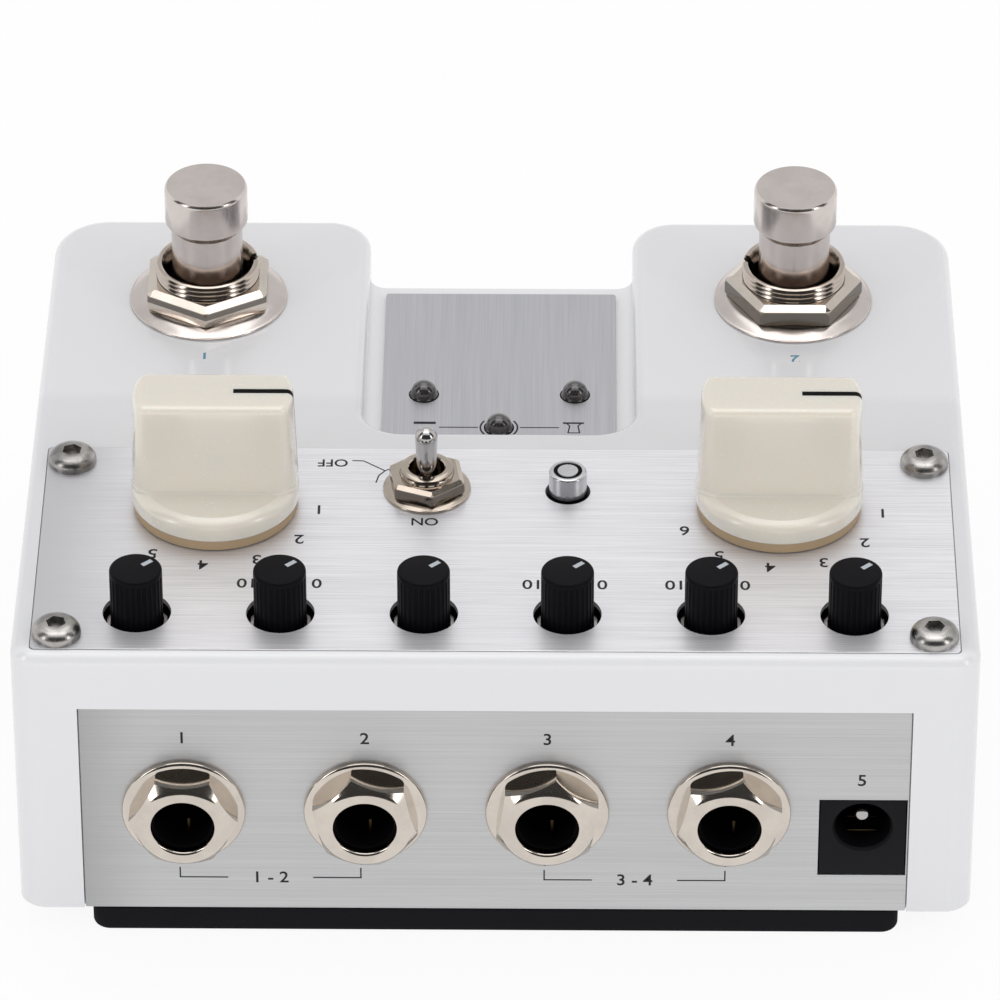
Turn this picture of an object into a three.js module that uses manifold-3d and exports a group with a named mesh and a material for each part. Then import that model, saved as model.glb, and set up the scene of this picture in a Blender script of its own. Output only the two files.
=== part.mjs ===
// A twin-footswitch delay pedal: a U-shaped die-cast housing with two footswitches, two bar knobs, six small
// controls, a toggle, a push button, three lamps, four jacks, a power socket and the boards that carry them.
// Millimetres. X runs along the jack panel, Y from the jack panel to the footswitches, Z up.
// The origin lies on the floor, under the middle of the pedal.
import * as THREE from "three";
import { mergeVertices } from "three/addons/utils/BufferGeometryUtils.js";
import Module from "manifold-3d";

const wasm = await Module();
wasm.setup();

// Fits shared by all pieces
const clearance = 0.3;
const overrun = 1.5;
const mergeDistance = 0.0001;
const sharpestRadius = 0.05;

// Steps in round shapes
const cornerSteps = 4;
const filletSteps = 3;
const holeSides = 16;
const smallSides = 10;
const roundSides = 24;
const spindleSides = 36;
const hexSides = 6;
const hexCornerShare = 1 / Math.sqrt(3);

// Housing
const shellWidth = 107.8;
const shellRearWidth = 106.6;
const shellLength = 88.7;
const shellHeight = 35.6;
const shellWall = 2.4;
const roofThickness = 2.4;
const deckFillet = 1.5;
const rimEdge = 0.3;
const frontCornerRadius = 3;
const lobeOuterRadius = 6.5;
const lobeInnerRadius = 5;
const notchCornerRadius = 2;
const notchWidth = 31.2;
const notchDepth = 11.1;
const deckFoldFromFace = 52.1;
const deckFall = 0.4;

// Channel between the lobes
const channelWidth = 34;
const channelDepth = 3;
const channelFromFace = 42.7;
const channelRound = 1.5;
const channelDraft = 0.3;
const channelCornerRadius = 6;
const panThickness = 2.2;

// Plates
const controlPlateFromSide = 2.3;
const controlPlateDepth = 38.7;
const controlPlateThickness = 0.6;
const controlPlateSunk = 0.5;
const plateCornerRadius = 0.6;
const channelPlateWidth = 27.2;
const channelPlateFromFace = 45.1;
const channelPlateRearGap = 2;
const channelPlateCornerRadius = 2.5;
const channelPlateThickness = 0.6;
const jackPlateFromSide = 7.5;
const jackPlateHeight = 28.1;
const jackPlateThickness = 0.8;
const jackPlateSunk = 1;
const jackPlateFromRim = 0.2;

// Base
const padThickness = 3.2;
const padInset = 8.2;
const padFrontInset = 0.2;
const padCornerRadius = 2;
const padEdge = 0.8;
const basePlateThickness = 1.2;

// Screws and the columns that take them
const headDiameter = 5.5;
const headHeight = 1.6;
const headEdge = 0.35;
const headFlatShare = 0.45;
const socketAcrossFlats = 2;
const socketDepth = 0.9;
const shankDiameter = 2.8;
const plateScrewLength = 7;
const plateScrewFromPlateSide = 2.85;
const plateScrewFromEdge = 2.8;
const columnDiameter = 6.8;
const bossHeight = 9;
const baseScrewLength = 7;
const baseHeadDiameter = 4.8;
const baseShankDiameter = 2.4;
const baseHeadHeight = 1.1;
const driveLength = 2.4;
const driveWidth = 0.8;
const driveDepth = 0.55;
const baseScrewFromSide = 5.6;
const baseScrewFromFace = 5.9;
const rearColumnFromBack = 5.6;
const ribThickness = 1.6;
const ribHeight = 4;
const lobeRibToSwitch = 5.1;
const frontRibReach = 3;

// Boards
const boardThickness = 1.6;
const boardDrop = 6.5;
const controlBoardFromSide = 9.4;
const controlBoardFromFace = 2.9;
const controlBoardToSwitch = 4.2;
const jackBoardDepth = 23;
const boardCornerRadius = 1;

// Small controls
const potFromSide = 13.9;
const potFromFace = 8.4;
const potHoleDiameter = 7.6;
const potBodyWidth = 9.8;
const potBodyDepth = 10.4;
const potBushDiameter = 7;
const potBushWall = 0.35;
const potBushBelowDeck = 1.3;
const smallKnobDiameter = 5.9;
const smallKnobHeight = 6.1;
const smallKnobSunk = 1;
const smallKnobChamfer = 0.35;
const ribCount = 12;
const ribDepth = 0.22;
const potShaftDiameter = 5.6;
const potShaftInBody = 5;
const potPointerWidth = 0.7;
const potPointerDepth = 0.4;
const potPointerStart = 0.9;
const potRestDegrees = 50;

// Selectors
const selectorFromSide = 21.9;
const selectorFromFace = 29.2;
const skirtDiameter = 19.1;
const skirtHeight = 1.5;
const skirtGap = 1.5;
const shelfDiameter = 16.8;
const shelfHeight = 4.1;
const barThickness = 7.4;
const barTopLength = 18.1;
const barBottomLength = 18.9;
const barEdge = 0.5;
const knobTop = 15.7;
const knobWall = 1.4;
const knobHubDiameter = 9.4;
const knobHollowHeight = 1.8;
const selectorPointerWidth = 1.2;
const selectorPointerDepth = 0.35;
const selectorPointerStart = 2.3;
const selectorShaftDiameter = 6;
const selectorShaftTop = 12.6;
const selectorShaftInBody = 5;
const selectorFlatDepth = 1.4;
const selectorFlatLength = 8;
const rotaryBodyDiameter = 16;
const rotaryBushDiameter = 9;
const rotaryBushTop = 1.1;

// Toggle switch
const toggleX = -8.05;
const toggleFromFace = 32.2;
const toggleBodyWidth = 6.8;
const toggleBodyDepth = 12.7;
const toggleBushDiameter = 6.2;
const toggleBushTop = 3.3;
const toggleBushEdge = 0.4;
const toggleMouthDiameter = 4.1;
const togglePivotHeight = 0.4;
const toggleBallDiameter = 2.6;
const leverDiameter = 2.45;
const leverNeckDiameter = 2.1;
const leverReach = 9.6;
const leverLeanDegrees = 12;
const toggleWasherDiameter = 10;
const toggleWasherThickness = 0.6;
const toggleNutAcrossFlats = 8;
const toggleNutThickness = 1.8;
const toggleNutTurnDegrees = 8.8;

// Push button
const buttonX = 8;
const buttonFromFace = 32.2;
const buttonDiameter = 4.3;
const buttonHoleDiameter = 5.1;
const buttonTop = 2.8;
const buttonEdge = 0.3;
const buttonGrooveOuter = 3.2;
const buttonGrooveInner = 2.4;
const buttonGrooveDepth = 0.15;
const buttonFlangeDiameter = 6.2;
const buttonFlangeThickness = 0.8;
const buttonStemDiameter = 3;
const buttonTravel = 0.8;
const tactWidth = 6;
const tactHeight = 3.4;
const tactWellDepth = 2;

// Lamps
const lampDiameter = 3;
const lampFlangeDiameter = 3.8;
const lampFlangeThickness = 1;
const lampHeight = 4.3;
const lampLegWidth = 0.6;
const lampLegPitch = 2.54;
const rearLampSpread = 17.6;
const rearLampFromFace = 54.7;
const frontLampFromFace = 48;

// Footswitches
const footswitchInward = 0.25;
const footswitchFromBack = 17.4;
const footswitchBodyWidth = 16;
const footswitchBodyDepth = 16.4;
const footswitchBodyHeight = 14;
const footswitchBushDiameter = 12.1;
const footswitchBushTop = 5.2;
const footswitchBushEdge = 0.5;
const footswitchWasherDiameter = 18.6;
const footswitchWasherThickness = 0.9;
const footswitchNutAcrossFlats = 14;
const footswitchNutThickness = 2.5;
const footswitchNutChamfer = 0.5;
const plungerDiameter = 8.2;
const plungerInBody = 6;
const plungerTravel = 2.5;
const capDiameter = 9.7;
const capTop = 15.7;
const capHeight = 6;
const capNeck = 0.8;
const capEdge = 0.5;

// Jacks
const firstJackFromPlateSide = 11.45;
const lastJackFromPlateSide = 20.15;
const jackBelowDeck = 21.35;
const jackBodyWidth = 14.4;
const jackBodyHeight = 12;
const jackBodyDepth = 20;
const jackBushDiameter = 8.9;
const jackBoreDiameter = 6.5;
const jackBoreDepth = 24;
const jackNutAcrossFlats = 11;
const jackNutReach = 3.5;
const jackNutMouthDiameter = 6.9;
const jackNutMouthLength = 0.9;
const jackNutFaceDiameter = 9.2;
const jackNutShoulder = 1.4;
const jackFlangeDiameter = 13.9;
const jackFlangeThickness = 0.8;

// Power socket
const socketFromPlateSide = 5.1;
const socketFaceWidth = 9.1;
const socketFaceHeight = 11;
const socketBodyDepth = 14;
const socketTopBelowDeck = 18.9;
const socketBoreBelowTop = 4.2;
const socketBoreDiameter = 6.3;
const socketBoreDepth = 9.5;
const socketPinDiameter = 2;
const socketPinBehindFace = 2;
const socketCutGap = 0.4;
const socketFaceBehindPlate = 0.5;

// Places that follow from the sizes above
const jackPlateFront = jackPlateSunk - jackPlateThickness;
const faceY = -(shellLength - jackNutReach) / 2;
const backY = faceY + shellLength;
const notchY = backY - notchDepth;
const creaseY = faceY + deckFoldFromFace;
const rimZ = padThickness;
const deckZ = rimZ + shellHeight;
const roofZ = deckZ - deckFall - roofThickness;
const panZ = deckZ - channelDepth - panThickness;
const basePlateTop = rimZ + basePlateThickness;
const controlPlateZ = deckZ - controlPlateSunk;
const controlPlateTop = controlPlateZ + controlPlateThickness;
const channelFloorZ = deckZ - channelDepth;
const channelPlateTop = channelFloorZ + channelPlateThickness;
const boardTop = roofZ - boardDrop;
const controlPlateY = faceY + deckFillet;
const plateScrewFrontY = controlPlateY + plateScrewFromEdge;
const plateScrewRearY = controlPlateY + controlPlateDepth - plateScrewFromEdge;
const baseScrewFrontY = faceY + baseScrewFromFace;
const rearColumnY = backY - rearColumnFromBack;
const frontInnerY = faceY + shellWall;
const jackPlateBackY = faceY + jackPlateSunk;
const jackPlateFaceY = faceY + jackPlateFront;
const jackPlateBottom = rimZ + jackPlateFromRim;
const jackZ = deckZ - jackBelowDeck;
const potY = faceY + potFromFace;
const selectorY = faceY + selectorFromFace;
const toggleY = faceY + toggleFromFace;
const buttonY = faceY + buttonFromFace;
const footswitchY = backY - footswitchFromBack;
const socketFrontY = jackPlateFaceY + socketFaceBehindPlate;
const socketTopZ = deckZ - socketTopBelowDeck;
const socketBoreZ = socketTopZ - socketBoreBelowTop;
const sides = [-1, 1];
const potIndexes = [0, 1, 2, 3, 4, 5];
const jackIndexes = [0, 1, 2, 3];
const jackNutTurns = [30, -13, 9, 12];

const degrees = THREE.MathUtils.degToRad;
const potPitch = (shellWidth - 2 * potFromSide) / (potIndexes.length - 1);
const potX = (i) => potPitch * (i - (potIndexes.length - 1) / 2);
const controlPlateWidth = shellWidth - 2 * controlPlateFromSide;
const jackPlateWidth = shellWidth - 2 * jackPlateFromSide;
const socketX = jackPlateWidth / 2 - socketFromPlateSide;
const firstJackX = firstJackFromPlateSide - jackPlateWidth / 2;
const lastJackX = jackPlateWidth / 2 - lastJackFromPlateSide;
const jackX = (i) => firstJackX + ((lastJackX - firstJackX) * i) / (jackIndexes.length - 1);
const plateScrewX = (side) => side * (controlPlateWidth / 2 - plateScrewFromPlateSide);
const baseScrewX = (side) => side * (shellWidth / 2 - baseScrewFromSide);
const selectorX = (side) => side * (shellWidth / 2 - selectorFromSide);
const lobeMiddle = (shellWidth + notchWidth) / (2 * sides.length);
const footswitchX = (side) => side * (lobeMiddle - footswitchInward);
const switchFrontY = footswitchY - footswitchBodyDepth / 2;
const deckAt = (y) => deckZ - (deckFall * Math.max(0, y - creaseY)) / (backY - creaseY);
const washerSeat = deckAt(footswitchY - footswitchWasherDiameter / 2);

// Turns a closed geometry into a solid that can be joined and cut.
function solidOf(geometry) {
  const bare = geometry.index ? geometry.toNonIndexed() : geometry.clone();
  bare.deleteAttribute("normal");
  bare.deleteAttribute("uv");
  const merged = mergeVertices(bare, mergeDistance);
  const whole = [];
  const order = merged.index.array;
  for (let i = 0; i < order.length; i += 3) {
    const [a, b, c] = order.slice(i, i + 3);
    if (a !== b && b !== c && c !== a) whole.push(a, b, c);
  }
  return new wasm.Manifold(
    new wasm.Mesh({
      numProp: 3,
      vertProperties: merged.attributes.position.array,
      triVerts: new Uint32Array(whole),
    }),
  );
}

function geometryOf(solid) {
  const made = solid.getMesh();
  return new THREE.BufferGeometry()
    .setAttribute("position", new THREE.BufferAttribute(made.vertProperties, made.numProp))
    .setIndex(new THREE.BufferAttribute(made.triVerts, 1));
}

const joined = (solids) => solids.reduce((whole, next) => whole.add(next));

function box(x0, x1, y0, y1, z0, z1) {
  const block = new THREE.BoxGeometry(x1 - x0, y1 - y0, z1 - z0);
  block.translate((x0 + x1) / 2, (y0 + y1) / 2, (z0 + z1) / 2);
  return solidOf(block);
}

function upright(diameter, z0, z1, x = 0, y = 0, count = holeSides, topDiameter = diameter) {
  const rod = new THREE.CylinderGeometry(topDiameter / 2, diameter / 2, z1 - z0, count);
  rod.rotateX(Math.PI / 2);
  rod.translate(x, y, (z0 + z1) / 2);
  return solidOf(rod);
}

// A rod along Y, from y0 to y1.
function level(diameter, y0, y1, x, z, count = holeSides) {
  const rod = new THREE.CylinderGeometry(diameter / 2, diameter / 2, y1 - y0, count);
  rod.translate(x, (y0 + y1) / 2, z);
  return solidOf(rod);
}

// A six-sided bar round Z with one corner towards -Y.
function hexagon(acrossFlats, z0, z1) {
  const bar = new THREE.CylinderGeometry(1, 1, z1 - z0, hexSides);
  bar.rotateX(Math.PI / 2);
  const radius = acrossFlats * hexCornerShare;
  bar.scale(radius, radius, 1);
  bar.translate(0, 0, (z0 + z1) / 2);
  return solidOf(bar);
}

// A turned shape round Z from [radius, height] pairs that start and end on the axis, lowest first.
function turned(profile, count = roundSides) {
  const outline = profile.map(([radius, height]) => new THREE.Vector2(radius, height));
  const spun = new THREE.LatheGeometry(outline, count);
  spun.rotateX(Math.PI / 2);
  return solidOf(spun);
}

// Points of a polygon, counter-clockwise, from [x, y, radius] corners. Each corner is rounded by its radius,
// and all sides are moved in by the inset.
function roundedOutline(corners, inset = 0) {
  const at = corners.map(([x, y]) => new THREE.Vector2(x, y));
  return corners.flatMap(([, , radius], i) => {
    const before = at[(i + at.length - 1) % at.length];
    const after = at[(i + 1) % at.length];
    const into = at[i].clone().sub(before).normalize();
    const out = after.clone().sub(at[i]).normalize();
    const leftOfInto = new THREE.Vector2(-into.y, into.x);
    const leftOfOut = new THREE.Vector2(-out.y, out.x);
    const bisector = leftOfInto.clone().add(leftOfOut);
    const corner = at[i].clone().addScaledVector(bisector, inset / (1 + leftOfInto.dot(leftOfOut)));
    if (!radius) return [corner];
    const turn = Math.atan2(into.cross(out), into.dot(out));
    const bend = Math.sign(turn);
    const round = Math.max(radius - bend * inset, sharpestRadius);
    const start = corner.clone().addScaledVector(into, -round * Math.tan(Math.abs(turn) / 2));
    const centre = start.clone().addScaledVector(leftOfInto, bend * round);
    return Array.from({ length: cornerSteps + 1 }, (_, k) =>
      start.clone().rotateAround(centre, (turn * k) / cornerSteps),
    );
  });
}

// A closed solid through rings of matching points, lowest ring first.
// Each end is filled as the given runs of points.
function loft(rings, endRuns) {
  const count = rings[0].length;
  const faces = [];
  for (let r = 0; r + 1 < rings.length; r++) {
    for (let i = 0; i < count; i++) {
      const a = r * count + i;
      const b = r * count + ((i + 1) % count);
      faces.push(a, b, b + count, a, b + count, a + count);
    }
  }
  const runs = endRuns ?? [rings[0].map((_, i) => i)];
  const last = (rings.length - 1) * count;
  for (const run of runs) {
    const fill = (ring) => THREE.ShapeUtils.triangulateShape(run.map((i) => ring[i]), []);
    for (const [a, b, c] of fill(rings[0])) faces.push(run[a], run[c], run[b]);
    for (const [a, b, c] of fill(rings.at(-1))) faces.push(last + run[a], last + run[b], last + run[c]);
  }
  const flat = rings.flat().flatMap((p) => [p.x, p.y, p.z]);
  const skin = new THREE.BufferGeometry();
  skin.setAttribute("position", new THREE.Float32BufferAttribute(flat, 3));
  skin.setIndex(faces);
  return solidOf(skin);
}

const ringAt = (points, z) => points.map((p) => new THREE.Vector3(p.x, p.y, z));

// A slab with rounded upright corners, straight sides and flat ends.
const slab = (corners, z0, z1, inset = 0) =>
  loft([ringAt(roundedOutline(corners, inset), z0), ringAt(roundedOutline(corners, inset), z1)]);

const rectangle = (x0, x1, y0, y1, radius) => [
  [x0, y0, radius],
  [x1, y0, radius],
  [x1, y1, radius],
  [x0, y1, radius],
];

// The U-shaped plan of the housing, with a plain point on each flank where the deck begins to fall.
function shellCorners() {
  const creaseShare = deckFoldFromFace / shellLength;
  const creaseHalf = (shellWidth + (shellRearWidth - shellWidth) * creaseShare) / 2;
  return [
    [-shellWidth / 2, faceY, frontCornerRadius],
    [shellWidth / 2, faceY, frontCornerRadius],
    [creaseHalf, creaseY, 0],
    [shellRearWidth / 2, backY, lobeOuterRadius],
    [notchWidth / 2, backY, lobeInnerRadius],
    [notchWidth / 2, notchY, notchCornerRadius],
    [-notchWidth / 2, notchY, notchCornerRadius],
    [-notchWidth / 2, backY, lobeInnerRadius],
    [-shellRearWidth / 2, backY, lobeOuterRadius],
    [-creaseHalf, creaseY, 0],
  ];
}

// The outer skin of the housing: upright walls, a rounded deck edge, and a deck that falls past the crease.
function housingSkin() {
  const corners = shellCorners();
  const rings = [
    ringAt(roundedOutline(corners, rimEdge), rimZ),
    ringAt(roundedOutline(corners), rimZ + rimEdge),
  ];
  for (let k = 0; k <= filletSteps; k++) {
    const angle = (Math.PI / 2) * (k / filletSteps);
    const inset = deckFillet * (1 - Math.cos(angle));
    const below = deckFillet * (1 - Math.sin(angle));
    rings.push(roundedOutline(corners, inset).map((p) => new THREE.Vector3(p.x, p.y, deckAt(p.y) - below)));
  }
  const count = rings[0].length;
  const creaseRight = 2 * (cornerSteps + 1);
  const creaseLeft = count - 1;
  const all = rings[0].map((_, i) => i);
  const frontRun = [creaseLeft, ...all.slice(0, creaseRight + 1)];
  const rearRun = all.slice(creaseRight, creaseLeft + 1);
  return loft(rings, [frontRun, rearRun]);
}

const channelCorners = (rearY) =>
  rectangle(-channelWidth / 2, channelWidth / 2, faceY + channelFromFace, rearY, channelCornerRadius);

// The recess between the lobes, with a rounded rim and a little draft, open towards the notch.
function channelCut() {
  const corners = channelCorners(backY + channelCornerRadius + overrun);
  const rings = [];
  for (let k = filletSteps; k >= 0; k--) {
    const angle = (Math.PI / 2) * (k / filletSteps);
    const points = roundedOutline(corners, channelRound * Math.sin(angle));
    rings.push(ringAt(points, deckZ - channelRound * (1 - Math.cos(angle))));
  }
  rings.unshift(ringAt(roundedOutline(corners, channelRound + channelDraft), channelFloorZ));
  rings.push(ringAt(roundedOutline(corners), deckZ + overrun));
  return loft(rings);
}

// Ribs, screw columns and the channel's pan, which stand inside the housing's hollow.
function housingInside() {
  const pan = slab(channelCorners(backY), panZ, deckZ, -panThickness);
  const pieces = [pan];
  for (const side of sides) {
    const column = (z0, x, y) => upright(columnDiameter, z0, deckZ, x, y, smallSides);
    pieces.push(column(deckZ - bossHeight, plateScrewX(side), plateScrewFrontY));
    pieces.push(column(deckZ - bossHeight, plateScrewX(side), plateScrewRearY));
    pieces.push(column(basePlateTop, baseScrewX(side), baseScrewFrontY));
    pieces.push(column(basePlateTop, footswitchX(side), rearColumnY));
    const inner = side * (channelWidth / 2);
    const outer = side * (shellWidth / 2);
    const y = switchFrontY - lobeRibToSwitch;
    const ends = [Math.min(inner, outer), Math.max(inner, outer)];
    pieces.push(box(...ends, y - ribThickness / 2, y + ribThickness / 2, roofZ - ribHeight, deckZ));
  }
  for (const i of jackIndexes.slice(1)) {
    const x = (jackX(i - 1) + jackX(i)) / 2;
    const reach = frontInnerY + frontRibReach;
    const half = ribThickness / 2;
    const ribTop = boardTop - boardThickness - ribHeight;
    pieces.push(box(x - half, x + half, faceY, reach, basePlateTop + ribHeight, ribTop));
  }
  return joined(pieces);
}

const lampPlaces = [
  [-rearLampSpread / 2, faceY + rearLampFromFace],
  [0, faceY + frontLampFromFace],
  [rearLampSpread / 2, faceY + rearLampFromFace],
];

function housing() {
  const hollow = slab(shellCorners(), rimZ - overrun, roofZ, shellWall);
  const shell = housingSkin().subtract(hollow.subtract(housingInside())).subtract(channelCut());
  const half = controlPlateWidth / 2 + clearance;
  const rearEdge = controlPlateY + controlPlateDepth + clearance;
  const top = deckZ + overrun;
  const under = roofZ - overrun;
  const cuts = [
    slab(rectangle(-half, half, controlPlateY - clearance, rearEdge, plateCornerRadius), controlPlateZ, top),
    box(
      -jackPlateWidth / 2 - clearance,
      jackPlateWidth / 2 + clearance,
      faceY - overrun,
      jackPlateBackY,
      rimZ - overrun,
      jackPlateBottom + jackPlateHeight + clearance,
    ),
    ...potIndexes.map((i) => upright(potHoleDiameter, under, top, potX(i), potY, smallSides)),
    upright(toggleBushDiameter + 2 * clearance, under, top, toggleX, toggleY, smallSides),
    upright(buttonHoleDiameter, under, top, buttonX, buttonY, smallSides),
    ...lampPlaces.map(([x, y]) =>
      upright(lampDiameter + 2 * clearance, panZ - overrun, top, x, y, smallSides),
    ),
    ...jackIndexes.map((i) =>
      level(jackBushDiameter + 2 * clearance, faceY - overrun, frontInnerY + overrun, jackX(i), jackZ),
    ),
    box(
      socketX - socketFaceWidth / 2 - clearance,
      socketX + socketFaceWidth / 2 + clearance,
      faceY - overrun,
      socketFrontY + socketBodyDepth + clearance,
      socketTopZ - socketFaceHeight - clearance,
      socketTopZ + clearance,
    ),
  ];
  for (const side of sides) {
    cuts.push(upright(rotaryBushDiameter + 2 * clearance, under, top, selectorX(side), selectorY));
    const bushHole = footswitchBushDiameter + 2 * clearance;
    cuts.push(upright(bushHole, under, top, footswitchX(side), footswitchY, roundSides));
    const tapped = shankDiameter + 2 * clearance;
    const deep = controlPlateTop - plateScrewLength - clearance;
    cuts.push(upright(tapped, deep, top, plateScrewX(side), plateScrewFrontY, smallSides));
    cuts.push(upright(tapped, deep, top, plateScrewX(side), plateScrewRearY, smallSides));
    const baseTapped = baseShankDiameter + 2 * clearance;
    const high = rimZ + baseScrewLength + clearance;
    cuts.push(upright(baseTapped, rimZ, high, baseScrewX(side), baseScrewFrontY, smallSides));
    cuts.push(upright(baseTapped, rimZ, high, footswitchX(side), rearColumnY, smallSides));
  }
  return shell.subtract(joined(cuts));
}

function controlPlate() {
  const half = controlPlateWidth / 2;
  const rearEdge = controlPlateY + controlPlateDepth;
  const plate = slab(
    rectangle(-half, half, controlPlateY, rearEdge, plateCornerRadius),
    controlPlateZ,
    controlPlateTop,
  );
  const z0 = controlPlateZ - overrun;
  const z1 = controlPlateTop + overrun;
  const cuts = [
    ...potIndexes.map((i) => upright(potHoleDiameter, z0, z1, potX(i), potY)),
    upright(toggleBushDiameter + 2 * clearance, z0, z1, toggleX, toggleY, smallSides),
    upright(buttonHoleDiameter, z0, z1, buttonX, buttonY),
  ];
  for (const side of sides) {
    cuts.push(upright(rotaryBushDiameter + 2 * clearance, z0, z1, selectorX(side), selectorY));
    for (const y of [plateScrewFrontY, plateScrewRearY]) {
      cuts.push(upright(shankDiameter + 2 * clearance, z0, z1, plateScrewX(side), y, smallSides));
    }
  }
  return plate.subtract(joined(cuts));
}

function channelPlate() {
  const half = channelPlateWidth / 2;
  const front = faceY + channelPlateFromFace;
  const corners = rectangle(-half, half, front, notchY - channelPlateRearGap, channelPlateCornerRadius);
  const plate = slab(corners, channelFloorZ, channelPlateTop);
  const hole = lampDiameter + 2 * clearance;
  const holes = lampPlaces.map(([x, y]) =>
    upright(hole, channelFloorZ - overrun, channelPlateTop + overrun, x, y, smallSides),
  );
  return plate.subtract(joined(holes));
}

function jackPlate() {
  const half = jackPlateWidth / 2;
  const top = jackPlateBottom + jackPlateHeight;
  const plate = box(-half, half, jackPlateFaceY, jackPlateBackY, jackPlateBottom, top);
  const y0 = jackPlateFaceY - overrun;
  const y1 = jackPlateBackY + overrun;
  const cuts = jackIndexes.map((i) => level(jackBushDiameter + 2 * clearance, y0, y1, jackX(i), jackZ));
  cuts.push(
    box(
      socketX - socketFaceWidth / 2 - socketCutGap,
      socketX + socketFaceWidth / 2 + socketCutGap,
      y0,
      y1,
      socketTopZ - socketFaceHeight - socketCutGap,
      socketTopZ + socketCutGap,
    ),
  );
  return plate.subtract(joined(cuts));
}

const baseScrewPlaces = sides.flatMap((side) => [
  [baseScrewX(side), baseScrewFrontY],
  [footswitchX(side), rearColumnY],
]);

function basePlate() {
  const plate = slab(shellCorners(), rimZ, basePlateTop, shellWall + clearance);
  const cuts = baseScrewPlaces.flatMap(([x, y]) => [
    upright(baseShankDiameter + 2 * clearance, rimZ - overrun, basePlateTop + overrun, x, y, smallSides),
    upright(
      baseHeadDiameter + 2 * clearance,
      rimZ,
      rimZ + baseHeadHeight,
      x,
      y,
      smallSides,
      baseShankDiameter + 2 * clearance,
    ),
  ]);
  return plate.subtract(joined(cuts));
}

// The rubber pad follows the housing's U plan, set in all round but at the jack panel.
// Its lower edges are soft.
function rubberPad() {
  const half = shellWidth / 2 - padInset;
  const rear = backY - padInset;
  const inner = notchWidth / 2 + padInset;
  const notchEdge = notchY - padInset;
  const front = faceY + padFrontInset;
  const corners = [
    [-half, front, padCornerRadius],
    [half, front, padCornerRadius],
    [half, rear, padCornerRadius],
    [inner, rear, padCornerRadius],
    [inner, notchEdge, padCornerRadius],
    [-inner, notchEdge, padCornerRadius],
    [-inner, rear, padCornerRadius],
    [-half, rear, padCornerRadius],
  ];
  return loft([
    ringAt(roundedOutline(corners, padEdge), 0),
    ringAt(roundedOutline(corners), padEdge),
    ringAt(roundedOutline(corners), padThickness),
  ]);
}

// A button-head screw with a hexagon socket. Its seat is at height 0.
function plateScrew() {
  const radius = headDiameter / 2;
  const shank = shankDiameter / 2;
  const bend = degrees(40);
  const body = turned(
    [
      [0, -plateScrewLength],
      [shank, -plateScrewLength],
      [shank, 0],
      [radius, 0],
      [radius, headEdge],
      [radius * Math.cos(bend), headHeight * Math.sin(bend)],
      [radius * headFlatShare, headHeight],
      [0, headHeight],
    ],
    smallSides,
  );
  return body.subtract(hexagon(socketAcrossFlats, headHeight - socketDepth, headHeight + overrun));
}

// A countersunk screw that enters upwards. Its flat face is at height 0, with a cross-shaped drive.
function baseScrew() {
  const radius = baseHeadDiameter / 2;
  const shank = baseShankDiameter / 2;
  const body = turned(
    [
      [0, 0],
      [radius, 0],
      [shank, baseHeadHeight],
      [shank, baseScrewLength],
      [0, baseScrewLength],
    ],
    smallSides,
  );
  const reach = driveLength / 2;
  const arm = driveWidth / 2;
  const across = box(-reach, reach, -arm, arm, -overrun, driveDepth);
  const along = box(-arm, arm, -reach, reach, -overrun, driveDepth);
  return body.subtract(across.add(along));
}

function controlBoard() {
  const half = shellWidth / 2 - controlBoardFromSide;
  const y0 = faceY + controlBoardFromFace;
  const y1 = switchFrontY - controlBoardToSwitch;
  const outline = rectangle(-half, half, y0, y1, boardCornerRadius);
  return slab(outline, boardTop - boardThickness, boardTop);
}

function jackBoard() {
  const x0 = jackX(0) - jackBodyWidth / 2 - boardThickness;
  const x1 = socketX - socketFaceWidth / 2 - clearance;
  const y0 = frontInnerY + clearance;
  const top = jackZ - jackBodyHeight / 2;
  const ribNotches = jackIndexes.slice(1).map((i) => {
    const x = (jackX(i - 1) + jackX(i)) / 2;
    const half = ribThickness / 2 + clearance;
    return box(x - half, x + half, y0 - overrun, frontInnerY + frontRibReach + clearance, 0, deckZ);
  });
  const outline = rectangle(x0, x1, y0, y0 + jackBoardDepth, boardCornerRadius);
  return slab(outline, top - boardThickness, top).subtract(joined(ribNotches));
}

// A potentiometer: a square body under the roof and a thin bush that shows round the knob's foot.
function potentiometer() {
  const bore = potBushDiameter - 2 * potBushWall;
  const body = box(-potBodyWidth / 2, potBodyWidth / 2, -potBodyDepth / 2, potBodyDepth / 2, boardTop, roofZ);
  const bush = upright(potBushDiameter, roofZ - overrun, deckZ - potBushBelowDeck, 0, 0, smallSides);
  return body.add(bush).subtract(upright(bore, roofZ - potShaftInBody, deckZ, 0, 0, smallSides));
}

// A small ribbed knob in one piece with its shaft. The pointer groove runs along +X.
function smallKnob() {
  const outer = smallKnobDiameter / 2;
  const star = (inset) =>
    Array.from({ length: 2 * ribCount }, (_, k) => {
      const radius = outer - inset - (k % 2 ? ribDepth : 0);
      const angle = (Math.PI * k) / ribCount;
      return new THREE.Vector2(radius * Math.cos(angle), radius * Math.sin(angle));
    });
  const top = deckZ + smallKnobHeight;
  const grip = loft([
    ringAt(star(0), deckZ - smallKnobSunk),
    ringAt(star(0), top - smallKnobChamfer),
    ringAt(star(smallKnobChamfer), top),
  ]);
  const shaftEnd = roofZ - potShaftInBody + clearance;
  const shaft = upright(potShaftDiameter, shaftEnd, deckZ - smallKnobSunk, 0, 0, smallSides);
  const halfPointer = potPointerWidth / 2;
  const groove = box(
    potPointerStart,
    outer + overrun,
    -halfPointer,
    halfPointer,
    top - potPointerDepth,
    top + overrun,
  );
  return grip.add(shaft).subtract(groove);
}

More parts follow.
